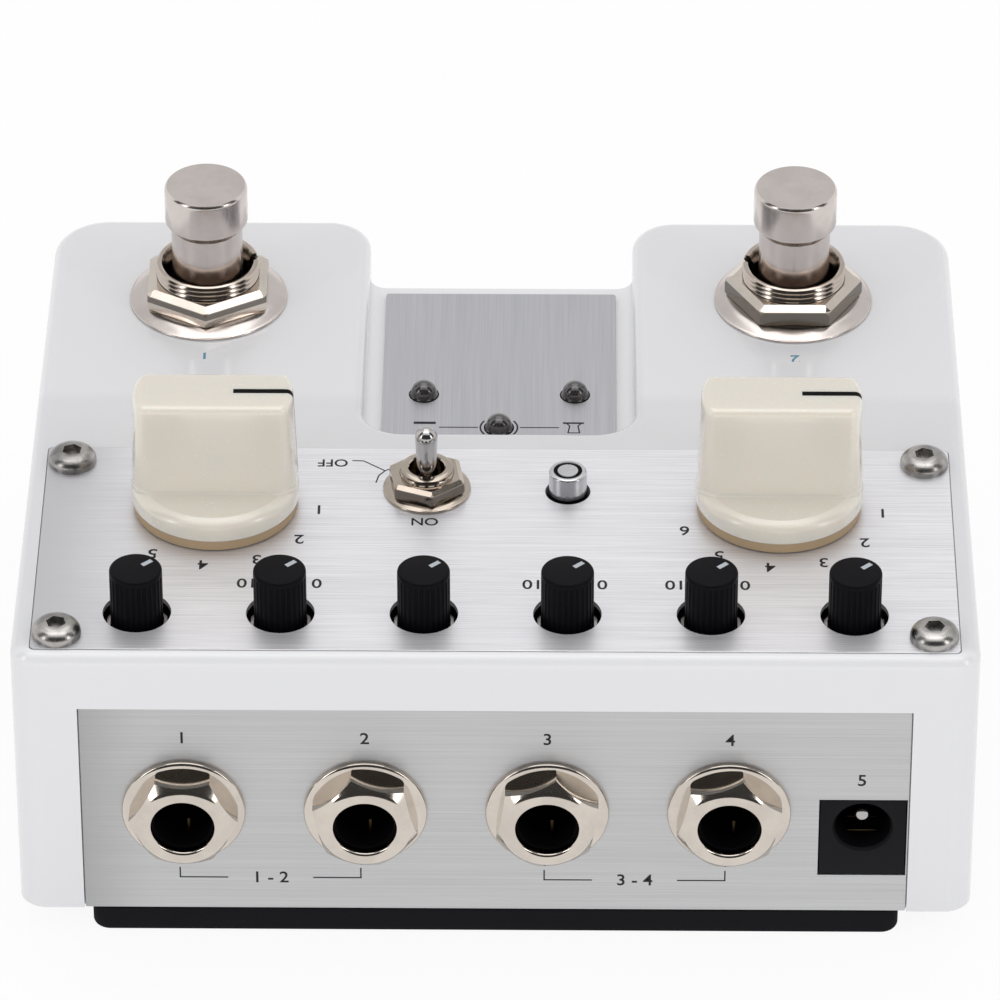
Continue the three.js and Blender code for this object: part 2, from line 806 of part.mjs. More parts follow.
// A bar knob: a skirt with a sloped rim, a bar across it with turned ends, and a hollow underside with a hub.
function selectorKnob() {
  const z0 = deckZ + skirtGap;
  const rim = z0 + skirtHeight;
  const shelf = deckZ + shelfHeight;
  const top = deckZ + knobTop;
  const skirt = turned([
    [0, z0],
    [skirtDiameter / 2, z0],
    [skirtDiameter / 2, rim],
    [shelfDiameter / 2, shelf],
    [0, shelf],
  ], roundSides);
  const spindle = turned([
    [0, rim],
    [barBottomLength / 2, rim],
    [barTopLength / 2, top - barEdge],
    [barTopLength / 2 - barEdge, top],
    [0, top],
  ], spindleSides);
  const edge = 2 * barEdge;
  const half = barThickness / 2;
  const reach = skirtDiameter;
  const across = [
    [-half, rim, 0],
    [half, rim, 0],
    [half, top, edge],
    [-half, top, edge],
  ];
  const section = loft([ringAt(roundedOutline(across), -reach), ringAt(roundedOutline(across), reach)]);
  const bar = solidOf(geometryOf(section).rotateX(Math.PI / 2).rotateZ(Math.PI / 2)).intersect(spindle);
  const ceiling = z0 + knobHollowHeight;
  const hollow = upright(skirtDiameter - 2 * knobWall, z0 - overrun, ceiling, 0, 0, roundSides).subtract(
    upright(knobHubDiameter, z0 - overrun, ceiling),
  );
  const boreTop = deckZ + selectorShaftTop + clearance;
  const bore = upright(selectorShaftDiameter + 2 * clearance, z0 - overrun, boreTop);
  const halfPointer = selectorPointerWidth / 2;
  const pointer = box(
    selectorPointerStart,
    reach,
    -halfPointer,
    halfPointer,
    top - selectorPointerDepth,
    top + overrun,
  );
  return skirt.add(bar).subtract(hollow).subtract(bore).subtract(pointer);
}

function selectorShaft() {
  const top = deckZ + selectorShaftTop;
  const bottom = roofZ - selectorShaftInBody + clearance;
  const radius = selectorShaftDiameter / 2;
  const rod = upright(selectorShaftDiameter, bottom, top);
  const flatX = radius - selectorFlatDepth;
  const flat = box(flatX, radius + overrun, -radius, radius, top - selectorFlatLength, top + overrun);
  return rod.subtract(flat);
}

function rotarySwitch() {
  const body = upright(rotaryBodyDiameter, boardTop, roofZ);
  const bush = upright(rotaryBushDiameter, roofZ - overrun, deckZ + rotaryBushTop);
  const boreDiameter = selectorShaftDiameter + 2 * clearance;
  return body.add(bush).subtract(upright(boreDiameter, roofZ - selectorShaftInBody, deckZ + skirtGap));
}

function toggleBody() {
  const bushTop = deckZ + toggleBushTop;
  const body = box(
    -toggleBodyWidth / 2,
    toggleBodyWidth / 2,
    -toggleBodyDepth / 2,
    toggleBodyDepth / 2,
    boardTop,
    roofZ,
  );
  const radius = toggleBushDiameter / 2;
  const bush = turned([
    [0, roofZ - overrun],
    [radius, roofZ - overrun],
    [radius, bushTop - toggleBushEdge],
    [radius - toggleBushEdge, bushTop],
    [0, bushTop],
  ], holeSides);
  const floor = deckZ + togglePivotHeight - toggleBallDiameter / 2 - clearance;
  return body.add(bush).subtract(upright(toggleMouthDiameter, floor, bushTop + overrun));
}

// The toggle's bat, upright, with its pivot ball's centre at the origin.
function toggleLever() {
  const ball = toggleBallDiameter / 2;
  const neck = leverNeckDiameter / 2;
  const tip = leverDiameter / 2;
  const mouth = toggleBushTop - togglePivotHeight;
  const low = degrees(50);
  const profile = [
    [0, -ball],
    [ball * Math.sin(low), -ball * Math.cos(low)],
    [ball, 0],
    [neck, ball],
    [neck, mouth],
    [tip, mouth + toggleBushEdge],
    [tip, leverReach - tip],
    [tip * Math.cos(degrees(45)), leverReach - tip * (1 - Math.sin(degrees(45)))],
    [0, leverReach],
  ];
  return turned(profile, smallSides);
}

function washer(outer, hole, z0, z1, count = holeSides) {
  return upright(outer, z0, z1, 0, 0, count).subtract(upright(hole, z0 - overrun, z1 + overrun, 0, 0, count));
}

// A six-sided nut with its upper corners turned off.
function nut(acrossFlats, hole, z0, z1, chamfer) {
  const corner = acrossFlats * hexCornerShare + chamfer / 2;
  const cone = turned([
    [0, z0],
    [corner, z0],
    [corner, z1 - chamfer],
    [corner - 2 * chamfer, z1],
    [0, z1],
  ], roundSides);
  return hexagon(acrossFlats, z0, z1)
    .intersect(cone)
    .subtract(upright(hole, z0 - overrun, z1 + overrun, 0, 0, roundSides));
}

function pushButton() {
  const radius = buttonDiameter / 2;
  const top = deckZ + buttonTop;
  const flangeTop = roofZ - clearance;
  const stem = buttonStemDiameter / 2;
  const stemEnd = boardTop + tactHeight - tactWellDepth + clearance + buttonTravel;
  return turned([
    [0, stemEnd],
    [stem, stemEnd],
    [stem, flangeTop - buttonFlangeThickness],
    [buttonFlangeDiameter / 2, flangeTop - buttonFlangeThickness],
    [buttonFlangeDiameter / 2, flangeTop],
    [radius, flangeTop],
    [radius, top - buttonEdge],
    [radius - buttonEdge, top],
    [buttonGrooveOuter / 2, top],
    [buttonGrooveOuter / 2, top - buttonGrooveDepth],
    [buttonGrooveInner / 2, top - buttonGrooveDepth],
    [buttonGrooveInner / 2, top],
    [0, top],
  ], smallSides);
}

function tactSwitch() {
  const half = tactWidth / 2;
  const top = boardTop + tactHeight;
  const wellDiameter = buttonStemDiameter + 2 * clearance;
  const well = upright(wellDiameter, top - tactWellDepth, top + overrun, 0, 0, smallSides);
  return box(-half, half, -half, half, boardTop, top).subtract(well);
}

function lamp() {
  const flange = lampFlangeDiameter / 2;
  const radius = lampDiameter / 2;
  const top = panZ + lampHeight;
  const straight = top - radius;
  const bend = degrees(45);
  const lens = turned([
    [0, panZ - lampFlangeThickness],
    [flange, panZ - lampFlangeThickness],
    [flange, panZ],
    [radius, panZ],
    [radius, straight],
    [radius * Math.cos(bend), straight + radius * Math.sin(bend)],
    [0, top],
  ], smallSides);
  const half = lampLegWidth / 2;
  const legs = sides.map((side) => {
    const x = (side * lampLegPitch) / 2;
    return box(x - half, x + half, -half, half, boardTop, panZ - lampFlangeThickness / 2);
  });
  return joined([lens, ...legs]);
}

function footswitchBody() {
  const bushTop = deckZ + footswitchBushTop;
  const radius = footswitchBushDiameter / 2;
  const halfWidth = footswitchBodyWidth / 2;
  const halfDepth = footswitchBodyDepth / 2;
  const body = box(-halfWidth, halfWidth, -halfDepth, halfDepth, roofZ - footswitchBodyHeight, roofZ);
  const bush = turned([
    [0, roofZ - overrun],
    [radius, roofZ - overrun],
    [radius, bushTop - footswitchBushEdge],
    [radius - footswitchBushEdge, bushTop],
    [0, bushTop],
  ]);
  const floor = roofZ - plungerInBody - plungerTravel - clearance;
  return body.add(bush).subtract(upright(plungerDiameter + 2 * clearance, floor, bushTop + overrun));
}

function footswitchPlunger() {
  const stem = plungerDiameter / 2;
  const cap = capDiameter / 2;
  const top = deckZ + capTop;
  const bottom = top - capHeight;
  return turned([
    [0, roofZ - plungerInBody],
    [stem, roofZ - plungerInBody],
    [stem, bottom - capNeck],
    [cap, bottom],
    [cap, top - capEdge],
    [cap - capEdge, top],
    [0, top],
  ]);
}

// Shapes that stand out of the jack panel are turned round Z first and laid along -Y afterwards.
function laidForward(solid) {
  return geometryOf(solid).rotateX(Math.PI / 2);
}

// A moulded jack: a box behind the wall and a threaded bush through it, bored for the plug.
// Its origin is on the bore's axis, where that crosses the panel's outer face.
function jackSocket() {
  const bushEnd = jackNutReach - jackNutMouthLength - clearance;
  const body = box(
    -jackBodyWidth / 2,
    jackBodyWidth / 2,
    shellWall,
    shellWall + jackBodyDepth,
    -jackBodyHeight / 2,
    jackBodyHeight / 2,
  );
  const bush = level(jackBushDiameter, -bushEnd, shellWall + overrun, 0, 0);
  return body.add(bush).subtract(level(jackBoreDiameter, -bushEnd - overrun, jackBoreDepth - bushEnd, 0, 0));
}

// A dress nut: a hexagon with a domed face and a round flange behind it.
// Behind the mouth it is hollow for the bush.
function jackNut() {
  const back = -jackPlateFront;
  const front = jackNutReach;
  const corner = jackNutAcrossFlats * hexCornerShare;
  const face = jackNutFaceDiameter / 2;
  const shoulder = back + jackNutShoulder;
  const bend = degrees(45);
  const cap = turned([
    [0, back],
    [corner, back],
    [corner, shoulder],
    [face + (corner - face) * Math.cos(bend), shoulder + (front - shoulder) * Math.sin(bend)],
    [face, front],
    [0, front],
  ]);
  const hex = hexagon(jackNutAcrossFlats, back, front).intersect(cap);
  const flange = upright(jackFlangeDiameter, back, back + jackFlangeThickness, 0, 0, roundSides);
  const roomDiameter = jackBushDiameter + 2 * clearance;
  const room = upright(roomDiameter, back - overrun, front - jackNutMouthLength);
  const mouth = upright(jackNutMouthDiameter, back, front + overrun, 0, 0, roundSides);
  return laidForward(hex.add(flange).subtract(room).subtract(mouth));
}

function powerSocket() {
  const front = socketFrontY;
  const half = socketFaceWidth / 2;
  const body = box(
    socketX - half,
    socketX + half,
    front,
    front + socketBodyDepth,
    socketTopZ - socketFaceHeight,
    socketTopZ,
  );
  const bore = level(socketBoreDiameter, front - overrun, front + socketBoreDepth, socketX, socketBoreZ);
  const pin = level(
    socketPinDiameter,
    front + socketPinBehindFace,
    front + socketBoreDepth + overrun,
    socketX,
    socketBoreZ,
    smallSides,
  );
  return body.subtract(bore).add(pin);
}

const finishes = {
  whitePaint: { color: 0xe9eaee, roughness: 0.25, metalness: 0 },
  brushedPlate: { color: 0xcfcfd2, roughness: 0.38, metalness: 0.9 },
  greyPlate: { color: 0xb8b9bc, roughness: 0.4, metalness: 0.9 },
  nickel: { color: 0xd8d3cc, roughness: 0.16, metalness: 1 },
  steel: { color: 0xb9b7b4, roughness: 0.3, metalness: 1 },
  cream: { color: 0xece6d6, roughness: 0.3, metalness: 0 },
  blackPlastic: { color: 0x19191b, roughness: 0.45, metalness: 0 },
  blackSteel: { color: 0x222224, roughness: 0.5, metalness: 0.4 },
  rubber: { color: 0x202022, roughness: 0.8, metalness: 0 },
  boardGreen: { color: 0x1f5a37, roughness: 0.5, metalness: 0 },
  smokedLens: { color: 0x2a2522, roughness: 0.1, metalness: 0 },
  silverPlastic: { color: 0xc9cbce, roughness: 0.3, metalness: 0.6 },
};

const pedal = new THREE.Group();

// Adds one named piece to a group, with a material of its own.
function place(parent, name, shape, finish, x = 0, y = 0, z = 0) {
  const geometry = shape.isBufferGeometry ? shape : geometryOf(shape);
  geometry.computeVertexNormals();
  const piece = new THREE.Mesh(geometry, new THREE.MeshStandardMaterial(finishes[finish]));
  piece.name = name;
  piece.position.set(x, y, z);
  parent.add(piece);
  return piece;
}

place(pedal, "housing", housing(), "whitePaint");
place(pedal, "control_plate", controlPlate(), "brushedPlate");
place(pedal, "channel_plate", channelPlate(), "greyPlate");
place(pedal, "jack_plate", jackPlate(), "greyPlate");
place(pedal, "base_plate", basePlate(), "blackSteel");
place(pedal, "rubber_pad", rubberPad(), "rubber");
place(pedal, "control_board", controlBoard(), "boardGreen");
place(pedal, "jack_board", jackBoard(), "boardGreen");
place(pedal, "dc_socket", powerSocket(), "blackPlastic");
place(pedal, "push_button", pushButton(), "silverPlastic", buttonX, buttonY);
place(pedal, "tact_switch", tactSwitch(), "blackPlastic", buttonX, buttonY);

[plateScrewFrontY, plateScrewRearY].forEach((y, row) => {
  sides.forEach((side, column) => {
    const name = `plate_screw_${sides.length * row + column + 1}`;
    place(pedal, name, plateScrew(), "steel", plateScrewX(side), y, controlPlateTop);
  });
});

baseScrewPlaces.forEach(([x, y], i) => {
  place(pedal, `base_screw_${i + 1}`, baseScrew(), "blackSteel", x, y, rimZ);
});

lampPlaces.forEach(([x, y], i) => {
  place(pedal, `lamp_${i + 1}`, lamp(), "smokedLens", x, y);
});

for (const i of potIndexes) {
  place(pedal, `potentiometer_${i + 1}`, potentiometer(), "steel", potX(i), potY);
  const knob = place(pedal, `small_knob_${i + 1}`, smallKnob(), "blackPlastic", potX(i), potY);
  knob.rotation.z = degrees(potRestDegrees);
}

for (const i of jackIndexes) {
  const jack = new THREE.Group();
  jack.position.set(jackX(i), faceY, jackZ);
  pedal.add(jack);
  place(jack, `jack_socket_${i + 1}`, jackSocket(), "blackPlastic");
  place(jack, `jack_nut_${i + 1}`, jackNut(), "nickel").rotation.y = degrees(jackNutTurns[i]);
}

sides.forEach((side) => {
  const hand = side < 0 ? "left" : "right";
  const selector = new THREE.Group();
  selector.position.set(selectorX(side), selectorY, 0);
  pedal.add(selector);
  place(selector, `selector_knob_${hand}`, selectorKnob(), "cream");
  place(selector, `selector_shaft_${hand}`, selectorShaft(), "steel");
  place(selector, `rotary_switch_${hand}`, rotarySwitch(), "steel");

  const footswitch = new THREE.Group();
  footswitch.position.set(footswitchX(side), footswitchY, 0);
  pedal.add(footswitch);
  const bushHole = footswitchBushDiameter + 2 * clearance;
  const washerTop = washerSeat + footswitchWasherThickness;
  const nutTop = washerTop + footswitchNutThickness;
  place(footswitch, `footswitch_body_${hand}`, footswitchBody(), "nickel");
  place(
    footswitch,
    `footswitch_washer_${hand}`,
    washer(footswitchWasherDiameter, bushHole, washerSeat, washerTop, roundSides),
    "nickel",
  );
  place(
    footswitch,
    `footswitch_nut_${hand}`,
    nut(footswitchNutAcrossFlats, bushHole, washerTop, nutTop, footswitchNutChamfer),
    "nickel",
  ).rotation.z = side < 0 ? 0 : degrees(30);
  place(footswitch, `footswitch_plunger_${hand}`, footswitchPlunger(), "nickel");
});

const toggle = new THREE.Group();
toggle.position.set(toggleX, toggleY, 0);
pedal.add(toggle);
const toggleHole = toggleBushDiameter + 2 * clearance;
const toggleWasherTop = controlPlateTop + toggleWasherThickness;
const toggleNutTop = toggleWasherTop + toggleNutThickness;
place(toggle, "toggle_body", toggleBody(), "nickel");
place(
  toggle,
  "toggle_washer",
  washer(toggleWasherDiameter, toggleHole, controlPlateTop, toggleWasherTop),
  "nickel",
);
place(
  toggle,
  "toggle_nut",
  nut(toggleNutAcrossFlats, toggleHole, toggleWasherTop, toggleNutTop, toggleBushEdge),
  "nickel",
).rotation.z = degrees(toggleNutTurnDegrees);
const lever = place(toggle, "toggle_lever", toggleLever(), "nickel", 0, 0, deckZ + togglePivotHeight);
lever.rotation.x = degrees(leverLeanDegrees);

export default pedal;
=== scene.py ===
"""A twin-footswitch delay pedal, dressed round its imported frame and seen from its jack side.

Shapes are worked out in millimetres and become pieces in metres. X runs along the jack panel, Y from the jack
panel to the footswitches and Z up. The origin lies on the floor under the middle of the pedal.
"""

import functools
import logging
import math
from dataclasses import dataclass, replace
from enum import Enum
from typing import Callable, Optional, Sequence, Union

import bmesh
import bpy
from mathutils import Matrix, Vector


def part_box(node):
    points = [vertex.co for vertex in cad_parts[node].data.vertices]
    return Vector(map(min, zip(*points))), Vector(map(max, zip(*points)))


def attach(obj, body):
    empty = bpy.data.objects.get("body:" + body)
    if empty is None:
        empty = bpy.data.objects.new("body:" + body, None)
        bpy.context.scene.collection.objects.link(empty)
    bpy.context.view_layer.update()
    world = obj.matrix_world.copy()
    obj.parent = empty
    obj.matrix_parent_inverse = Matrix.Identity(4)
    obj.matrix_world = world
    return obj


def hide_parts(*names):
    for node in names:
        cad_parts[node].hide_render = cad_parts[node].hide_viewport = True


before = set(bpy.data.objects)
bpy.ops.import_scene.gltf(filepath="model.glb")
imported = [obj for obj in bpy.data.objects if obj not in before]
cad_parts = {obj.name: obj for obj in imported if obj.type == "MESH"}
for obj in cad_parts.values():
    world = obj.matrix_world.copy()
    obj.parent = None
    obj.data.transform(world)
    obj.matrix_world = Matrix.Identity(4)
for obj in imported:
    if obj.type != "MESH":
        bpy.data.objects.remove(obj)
log = logging.getLogger("delay_pedal")

MM = 0.001
MERGE = 0.0005
HARD = 1.0
OVERRUN = 1.5
CLEARANCE = 0.3
HAIR = 0.02
PAST = 0.1
WASHER_GAP = 0.05
ROUND_STEPS = 96
FINE_STEPS = 64
SMALL_STEPS = 48
CORNER_STEPS = 10
CREASE_FROM_FACE = 52.1
NOTCH_HALF = 15.6
NOTCH_DEPTH = 11.1
CHASSIS = "chassis"
SIDES = (-1, 1)
HANDS = {-1: "left", 1: "right"}
JACK_TURNS = (30.0, 14.5, -9.5, -14.0)
FOOTSWITCH_TURNS = {"left": (0.0, 8.0), "right": (30.0, 172.0)}
RIDGE = ((1.0, 0.0), (0.25, 0.3), (0.0, 0.5), (0.25, 0.7))
NUT_FOOT = (0.3, 0.12)
NUT_CORNER = (0.4, 0.25)
NUT_BLUNT = 0.975
NUT_TURNED = 0.5
BOLDER = 0.012
FLAT_WEIGHT = 100
WHITE = (1.0, 1.0, 1.0, 1.0)

Pair = tuple[float, float]
Triple = tuple[float, float, float]
Number = Union[int, float]


class Slot(Enum):
    """Names of the material slots that the finishes carry."""

    PAINT = "white_paint"
    BRUSHED = "brushed_plate"
    GREY = "grey_plate"
    STEEL_BLACK = "black_steel"
    RUBBER = "rubber"
    BOARD = "board"
    BLACK = "black_plastic"
    SILVER = "silver_plastic"
    STEEL = "steel"
    LENS = "smoked_lens"
    CREAM = "cream_plastic"
    NICKEL = "nickel"


class Cut(Enum):
    """What a boolean does with its tool."""

    AWAY = "DIFFERENCE"
    BOTH = "UNION"
    SHARED = "INTERSECT"


@dataclass(frozen=True)
class Place:
    """The box of a CAD node at rest, in millimetres."""

    low: Vector
    high: Vector

    @classmethod
    def of(cls, node: str) -> "Place":
        """The box of one node, by its name."""
        low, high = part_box(node)
        return cls(low / MM, high / MM)

    @property
    def middle(self) -> Vector:
        """The middle of the box."""
        return (self.low + self.high) / 2


def rounded(corners: Sequence[Triple], inset: float = 0.0, steps: int = CORNER_STEPS) -> list[Pair]:
    """Turns the corners of a polygon into arcs.

    Args:
        corners: x, y and radius of each corner, counter-clockwise. A radius of 0 leaves a plain point.
        inset: how far all sides are moved in.
        steps: steps in each arc.

    Returns:
        The points of the closed outline.
    """
    at = [Vector((x, y)) for x, y, _ in corners]
    points: list[Pair] = []
    for i, (_, _, radius) in enumerate(corners):
        into = (at[i] - at[i - 1]).normalized()
        out = (at[(i + 1) % len(at)] - at[i]).normalized()
        left_into, left_out = Vector((-into.y, into.x)), Vector((-out.y, out.x))
        corner = at[i] + (left_into + left_out) * inset / (1 + left_into.dot(left_out))
        if not radius:
            points.append(tuple(corner))
            continue
        turn = math.atan2(into.cross(out), into.dot(out))
        bend = math.copysign(1, turn)
        round_radius = max(radius - bend * inset, MERGE)
        start = corner - into * round_radius * math.tan(abs(turn) / 2)
        centre = start + left_into * bend * round_radius
        for k in range(steps + 1):
            points.append(tuple(centre + Matrix.Rotation(turn * k / steps, 2) @ (start - centre)))
    return points


def rectangle(x0: float, x1: float, y0: float, y1: float, radius: float) -> list[Triple]:
    """The four corners of a rounded rectangle, counter-clockwise."""
    return [(x0, y0, radius), (x1, y0, radius), (x1, y1, radius), (x0, y1, radius)]


def mirrored(right: Sequence[Triple], first: int = 0) -> list[Triple]:
    """The corners of a whole outline from those of its right half, beginning with one of them."""
    whole = [*right, *((-x, y, radius) for x, y, radius in reversed(right))]
    return [*whole[first:], *whole[:first]]


def arc(
    x: float, y: float, radius: float, start: float, end: float, steps: int, up: Optional[float] = None
) -> list[Pair]:
    """Points on part of a circle or of an upright ellipse.

    Args:
        x: its middle, across.
        y: its middle, upwards.
        radius: its radius, across.
        start: the first point's angle in degrees, counter-clockwise from X.
        end: the last point's angle.
        steps: steps between them.
        up: its radius upwards, where that is another.

    Returns:
        The points in order.
    """
    turns = [math.radians(start + (end - start) * k / steps) for k in range(steps + 1)]
    return [(x + radius * math.cos(turn), y + (up or radius) * math.sin(turn)) for turn in turns]


def soft(x: float, y: float, radius: float, steps: int) -> list[Pair]:
    """A quarter circle that rounds an outer upper corner at x, y, from its side to its top."""
    return arc(x - radius, y - radius, radius, 0, 90, steps)


def hexagon(across_flats: float, turn: float = 0.0) -> list[Pair]:
    """The points of a hexagon with one corner towards -Y, then turned by an angle in degrees."""
    return arc(0, 0, across_flats / math.sqrt(3), turn - 90, turn + 270, 6)[:-1]


def threaded(radius: float, low: float, high: float, pitch: float, depth: float) -> list[Pair]:
    """The outline of a thread as rings, from its foot to its end.

    Args:
        radius: outer radius.
        low: height of the foot.
        high: height of the end.
        pitch: how far the ridges stand apart.
        depth: how deep the grooves are.

    Returns:
        Radius and height of each point.
    """
    count = max(1, round((high - low) / pitch))
    tall = (high - low) / count
    places = [(deep, k * tall + tall * share) for k in range(count) for deep, share in RIDGE]
    return [*((radius - depth * deep, low + up) for deep, up in places), (radius - depth, high)]


def is_level(edge: bmesh.types.BMEdge, height: float) -> bool:
    """Whether an edge lies level at one height."""
    return all(abs(vert.co.z - height) < MERGE for vert in edge.verts)


def edge_at(height: float) -> Callable[[bmesh.types.BMEdge], bool]:
    """A test for the hard edges that lie level at one height."""
    return lambda edge: is_level(edge, height) and edge.calc_face_angle(0) > HARD


def link(name: str, data: bpy.types.ID) -> bpy.types.Object:
    """A new object in the scene.

    Args:
        name: its name.
        data: its mesh, curve, camera or lamp.

    Returns:
        The object.
    """
    made = bpy.data.objects.new(name, data)
    bpy.context.scene.collection.objects.link(made)
    return made


class Form:
    """A shape in the making, in millimetres, which bmesh operators build up."""

    def __init__(self) -> None:
        """Starts with nothing."""
        self.mesh = bmesh.new()

    def chain(self, points: Sequence[Sequence[float]], closed: bool) -> list[bmesh.types.BMEdge]:
        """Adds a run of edges.

        Args:
            points: x, y and z of each vertex in order.
            closed: whether the last vertex joins the first.

        Returns:
            The new edges.
        """
        verts = [self.mesh.verts.new(point) for point in points]
        after = verts[1:] + verts[:1] if closed else verts[1:]
        return [self.mesh.edges.new(pair) for pair in zip(verts, after)]

    def settle(self) -> "Form":
        """Merges doubles and points all faces outwards.

        Returns:
            This form.
        """
        bmesh.ops.remove_doubles(self.mesh, verts=self.mesh.verts, dist=MERGE)
        bmesh.ops.dissolve_degenerate(self.mesh, edges=self.mesh.edges, dist=MERGE)
        bmesh.ops.recalc_face_normals(self.mesh, faces=self.mesh.faces)
        return self

    @classmethod
    def turned(cls, profile: Sequence[Pair], steps: int = ROUND_STEPS) -> "Form":
        """A solid of revolution round Z.

        Args:
            profile: radius and height of each point. It starts and ends on the axis or closes on itself.
            steps: steps in the full turn.

        Returns:
            The closed form.
        """
        form = cls()
        edges = form.chain([(radius, 0, height) for radius, height in profile], False)
        verts = list({vert: None for edge in edges for vert in edge.verts})
        bmesh.ops.spin(
            form.mesh, geom=verts + edges, cent=(0, 0, 0), axis=(0, 0, 1),
            angle=math.tau, steps=steps, use_merge=True,
        )
        return form.settle()

    @classmethod
    def tube(cls, inner: float, outer: float, low: float, high: float) -> "Form":
        """An upright tube on the Z axis, between two radii and two heights."""
        profile = [(inner, low), (outer, low), (outer, high), (inner, high), (inner, low)]
        return cls.turned(profile, FINE_STEPS)

    @classmethod
    def loft(cls, levels: Sequence[tuple[float, Sequence[Pair]]], capped: bool = True) -> "Form":
        """A skin through outlines.

        Args:
            levels: height and outline of each, lowest first.
            capped: whether both ends are closed.

        Returns:
            The form.
        """
        form = cls()
        loops = [form.chain([(x, y, height) for x, y in outline], True) for height, outline in levels]
        for low, high in zip(loops, loops[1:]):
            bmesh.ops.bridge_loops(form.mesh, edges=low + high)
        if capped:
            for loop in (loops[0], loops[-1]):
                bmesh.ops.contextual_create(form.mesh, geom=loop)
        return form.settle()

    @classmethod
    def prism(cls, outline: Sequence[Pair], low: float, high: float) -> "Form":
        """An upright bar over an outline, from one height to another.

        Args:
            outline: its points in order.
            low: height of its foot.
            high: height of its top.

        Returns:
            The closed form.
        """
        form = cls()
        edges = form.chain([(x, y, low) for x, y in outline], True)
        face = bmesh.ops.contextual_create(form.mesh, geom=edges)["faces"]
        grown = bmesh.ops.extrude_face_region(form.mesh, geom=face)["geom"]
        tops = [item for item in grown if isinstance(item, bmesh.types.BMVert)]
        bmesh.ops.translate(form.mesh, verts=tops, vec=(0, 0, high - low))
        return form.settle()

    @classmethod
    def block(cls, low: Sequence[float], high: Sequence[float]) -> "Form":
        """A box between two corners.

        Args:
            low: its lowest corner.
            high: its highest corner.

        Returns:
            The form.
        """
        form, size = cls(), Vector(high) - Vector(low)
        middle = Matrix.Translation((Vector(low) + Vector(high)) / 2)
        bmesh.ops.create_cube(form.mesh, size=1, matrix=middle @ Matrix.Diagonal((*size, 1)))
        return form

    @classmethod
    def rod(cls, radius: float, low: float, high: float, steps: int = SMALL_STEPS) -> "Form":
        """A plain upright cylinder on the Z axis."""
        return cls.prism(arc(0, 0, radius, 0, 360, steps)[:-1], low, high)

    @classmethod
    def words(cls, text: str, height: float, thickness: float) -> "Form":
        """Flat figures in the XY plane, read from above, as thin solids.

        Args:
            text: plain numbers or ON and OFF.
            height: size of the type.
            thickness: how thick the print is.

        Returns:
            The form, centred on the origin.
        """
        curve = bpy.data.curves.new("figures", "FONT")
        curve.body, curve.size, curve.extrude = text, height, thickness / 2
        curve.offset = height * BOLDER
        curve.resolution_u = 6
        curve.align_x, curve.align_y = "CENTER", "CENTER"
        holder = link("figures", curve)
        form = cls().take(holder)
        bpy.data.objects.remove(holder)
        bpy.data.curves.remove(curve)
        return form.settle()

    def take(self, source: bpy.types.Object) -> "Form":
        """Replaces this form's mesh by an object's evaluated one.

        Args:
            source: the object.

        Returns:
            This form.
        """
        bpy.context.view_layer.update()
        mesh = bpy.data.meshes.new_from_object(source.evaluated_get(bpy.context.evaluated_depsgraph_get()))
        self.mesh.clear()
        self.mesh.from_mesh(mesh)
        bpy.data.meshes.remove(mesh)
        return self

    def holder(self, name: str = "passing") -> bpy.types.Object:
        """A new object that holds this form's mesh, which is used up.

        Args:
            name: its name and its mesh's.

        Returns:
            The object.
        """
        mesh = bpy.data.meshes.new(name)
        self.mesh.to_mesh(mesh)
        self.mesh.free()
        return link(name, mesh)

    def boolean(self, tool: "Form", how: Cut = Cut.AWAY) -> "Form":
        """Cuts this form by another, joins them, or keeps what they share.

        Args:
            tool: the other form, which is used up.
            how: which of the three.

        Returns:
            This form.
        """
        body, other = self.holder(), tool.holder()
        modifier = body.modifiers.new("cut", "BOOLEAN")
        modifier.operation, modifier.solver, modifier.object = how.value, "EXACT", other
        self.mesh = bmesh.new()
        self.take(body)
        for held in (body, other):
            mesh = held.data
            bpy.data.objects.remove(held)
            bpy.data.meshes.remove(mesh)
        bmesh.ops.remove_doubles(self.mesh, verts=self.mesh.verts, dist=MERGE)
        return self

    def cut(self, *tools: "Form") -> "Form":
        """Cuts this form by several others in turn.

        Args:
            tools: the others, which are used up.

        Returns:
            This form.
        """
        for tool in tools:
            self.boolean(tool)
        return self

    def join(self, *others: "Form") -> "Form":
        """Adds the shells of other forms, which are used up.

        Args:
            others: those forms.

        Returns:
            This form.
        """
        for other in others:
            mesh = bpy.data.meshes.new("passing")
            other.mesh.to_mesh(mesh)
            self.mesh.from_mesh(mesh)
            bpy.data.meshes.remove(mesh)
            other.mesh.free()
        return self

    def copy(self) -> "Form":
        """A second form of the same shape.

        Returns:
            The new form.
        """
        twin = Form()
        twin.mesh = self.mesh.copy()
        return twin

    def move(self, x: float = 0.0, y: float = 0.0, z: float = 0.0) -> "Form":
        """Shifts the form."""
        bmesh.ops.translate(self.mesh, verts=self.mesh.verts, vec=(x, y, z))
        return self

    def over(self, node: str) -> "Form":
        """Shifts the form from the Z axis to the middle of a node."""
        middle = Place.of(node).middle
        return self.move(middle.x, middle.y)

    def rotate(self, degrees: float, axis: str = "Z") -> "Form":
        """Turns the form about one axis through the origin.

        Args:
            degrees: how far it turns.
            axis: X, Y or Z.

        Returns:
            This form.
        """
        matrix = Matrix.Rotation(math.radians(degrees), 3, axis)
        bmesh.ops.rotate(self.mesh, verts=self.mesh.verts, cent=(0, 0, 0), matrix=matrix)
        return self

    def stand(self, x: float, y: float, z: float) -> "Form":
        """Turns the form's top towards -Y and then shifts it."""
        return self.rotate(90, "X").move(x, y, z)

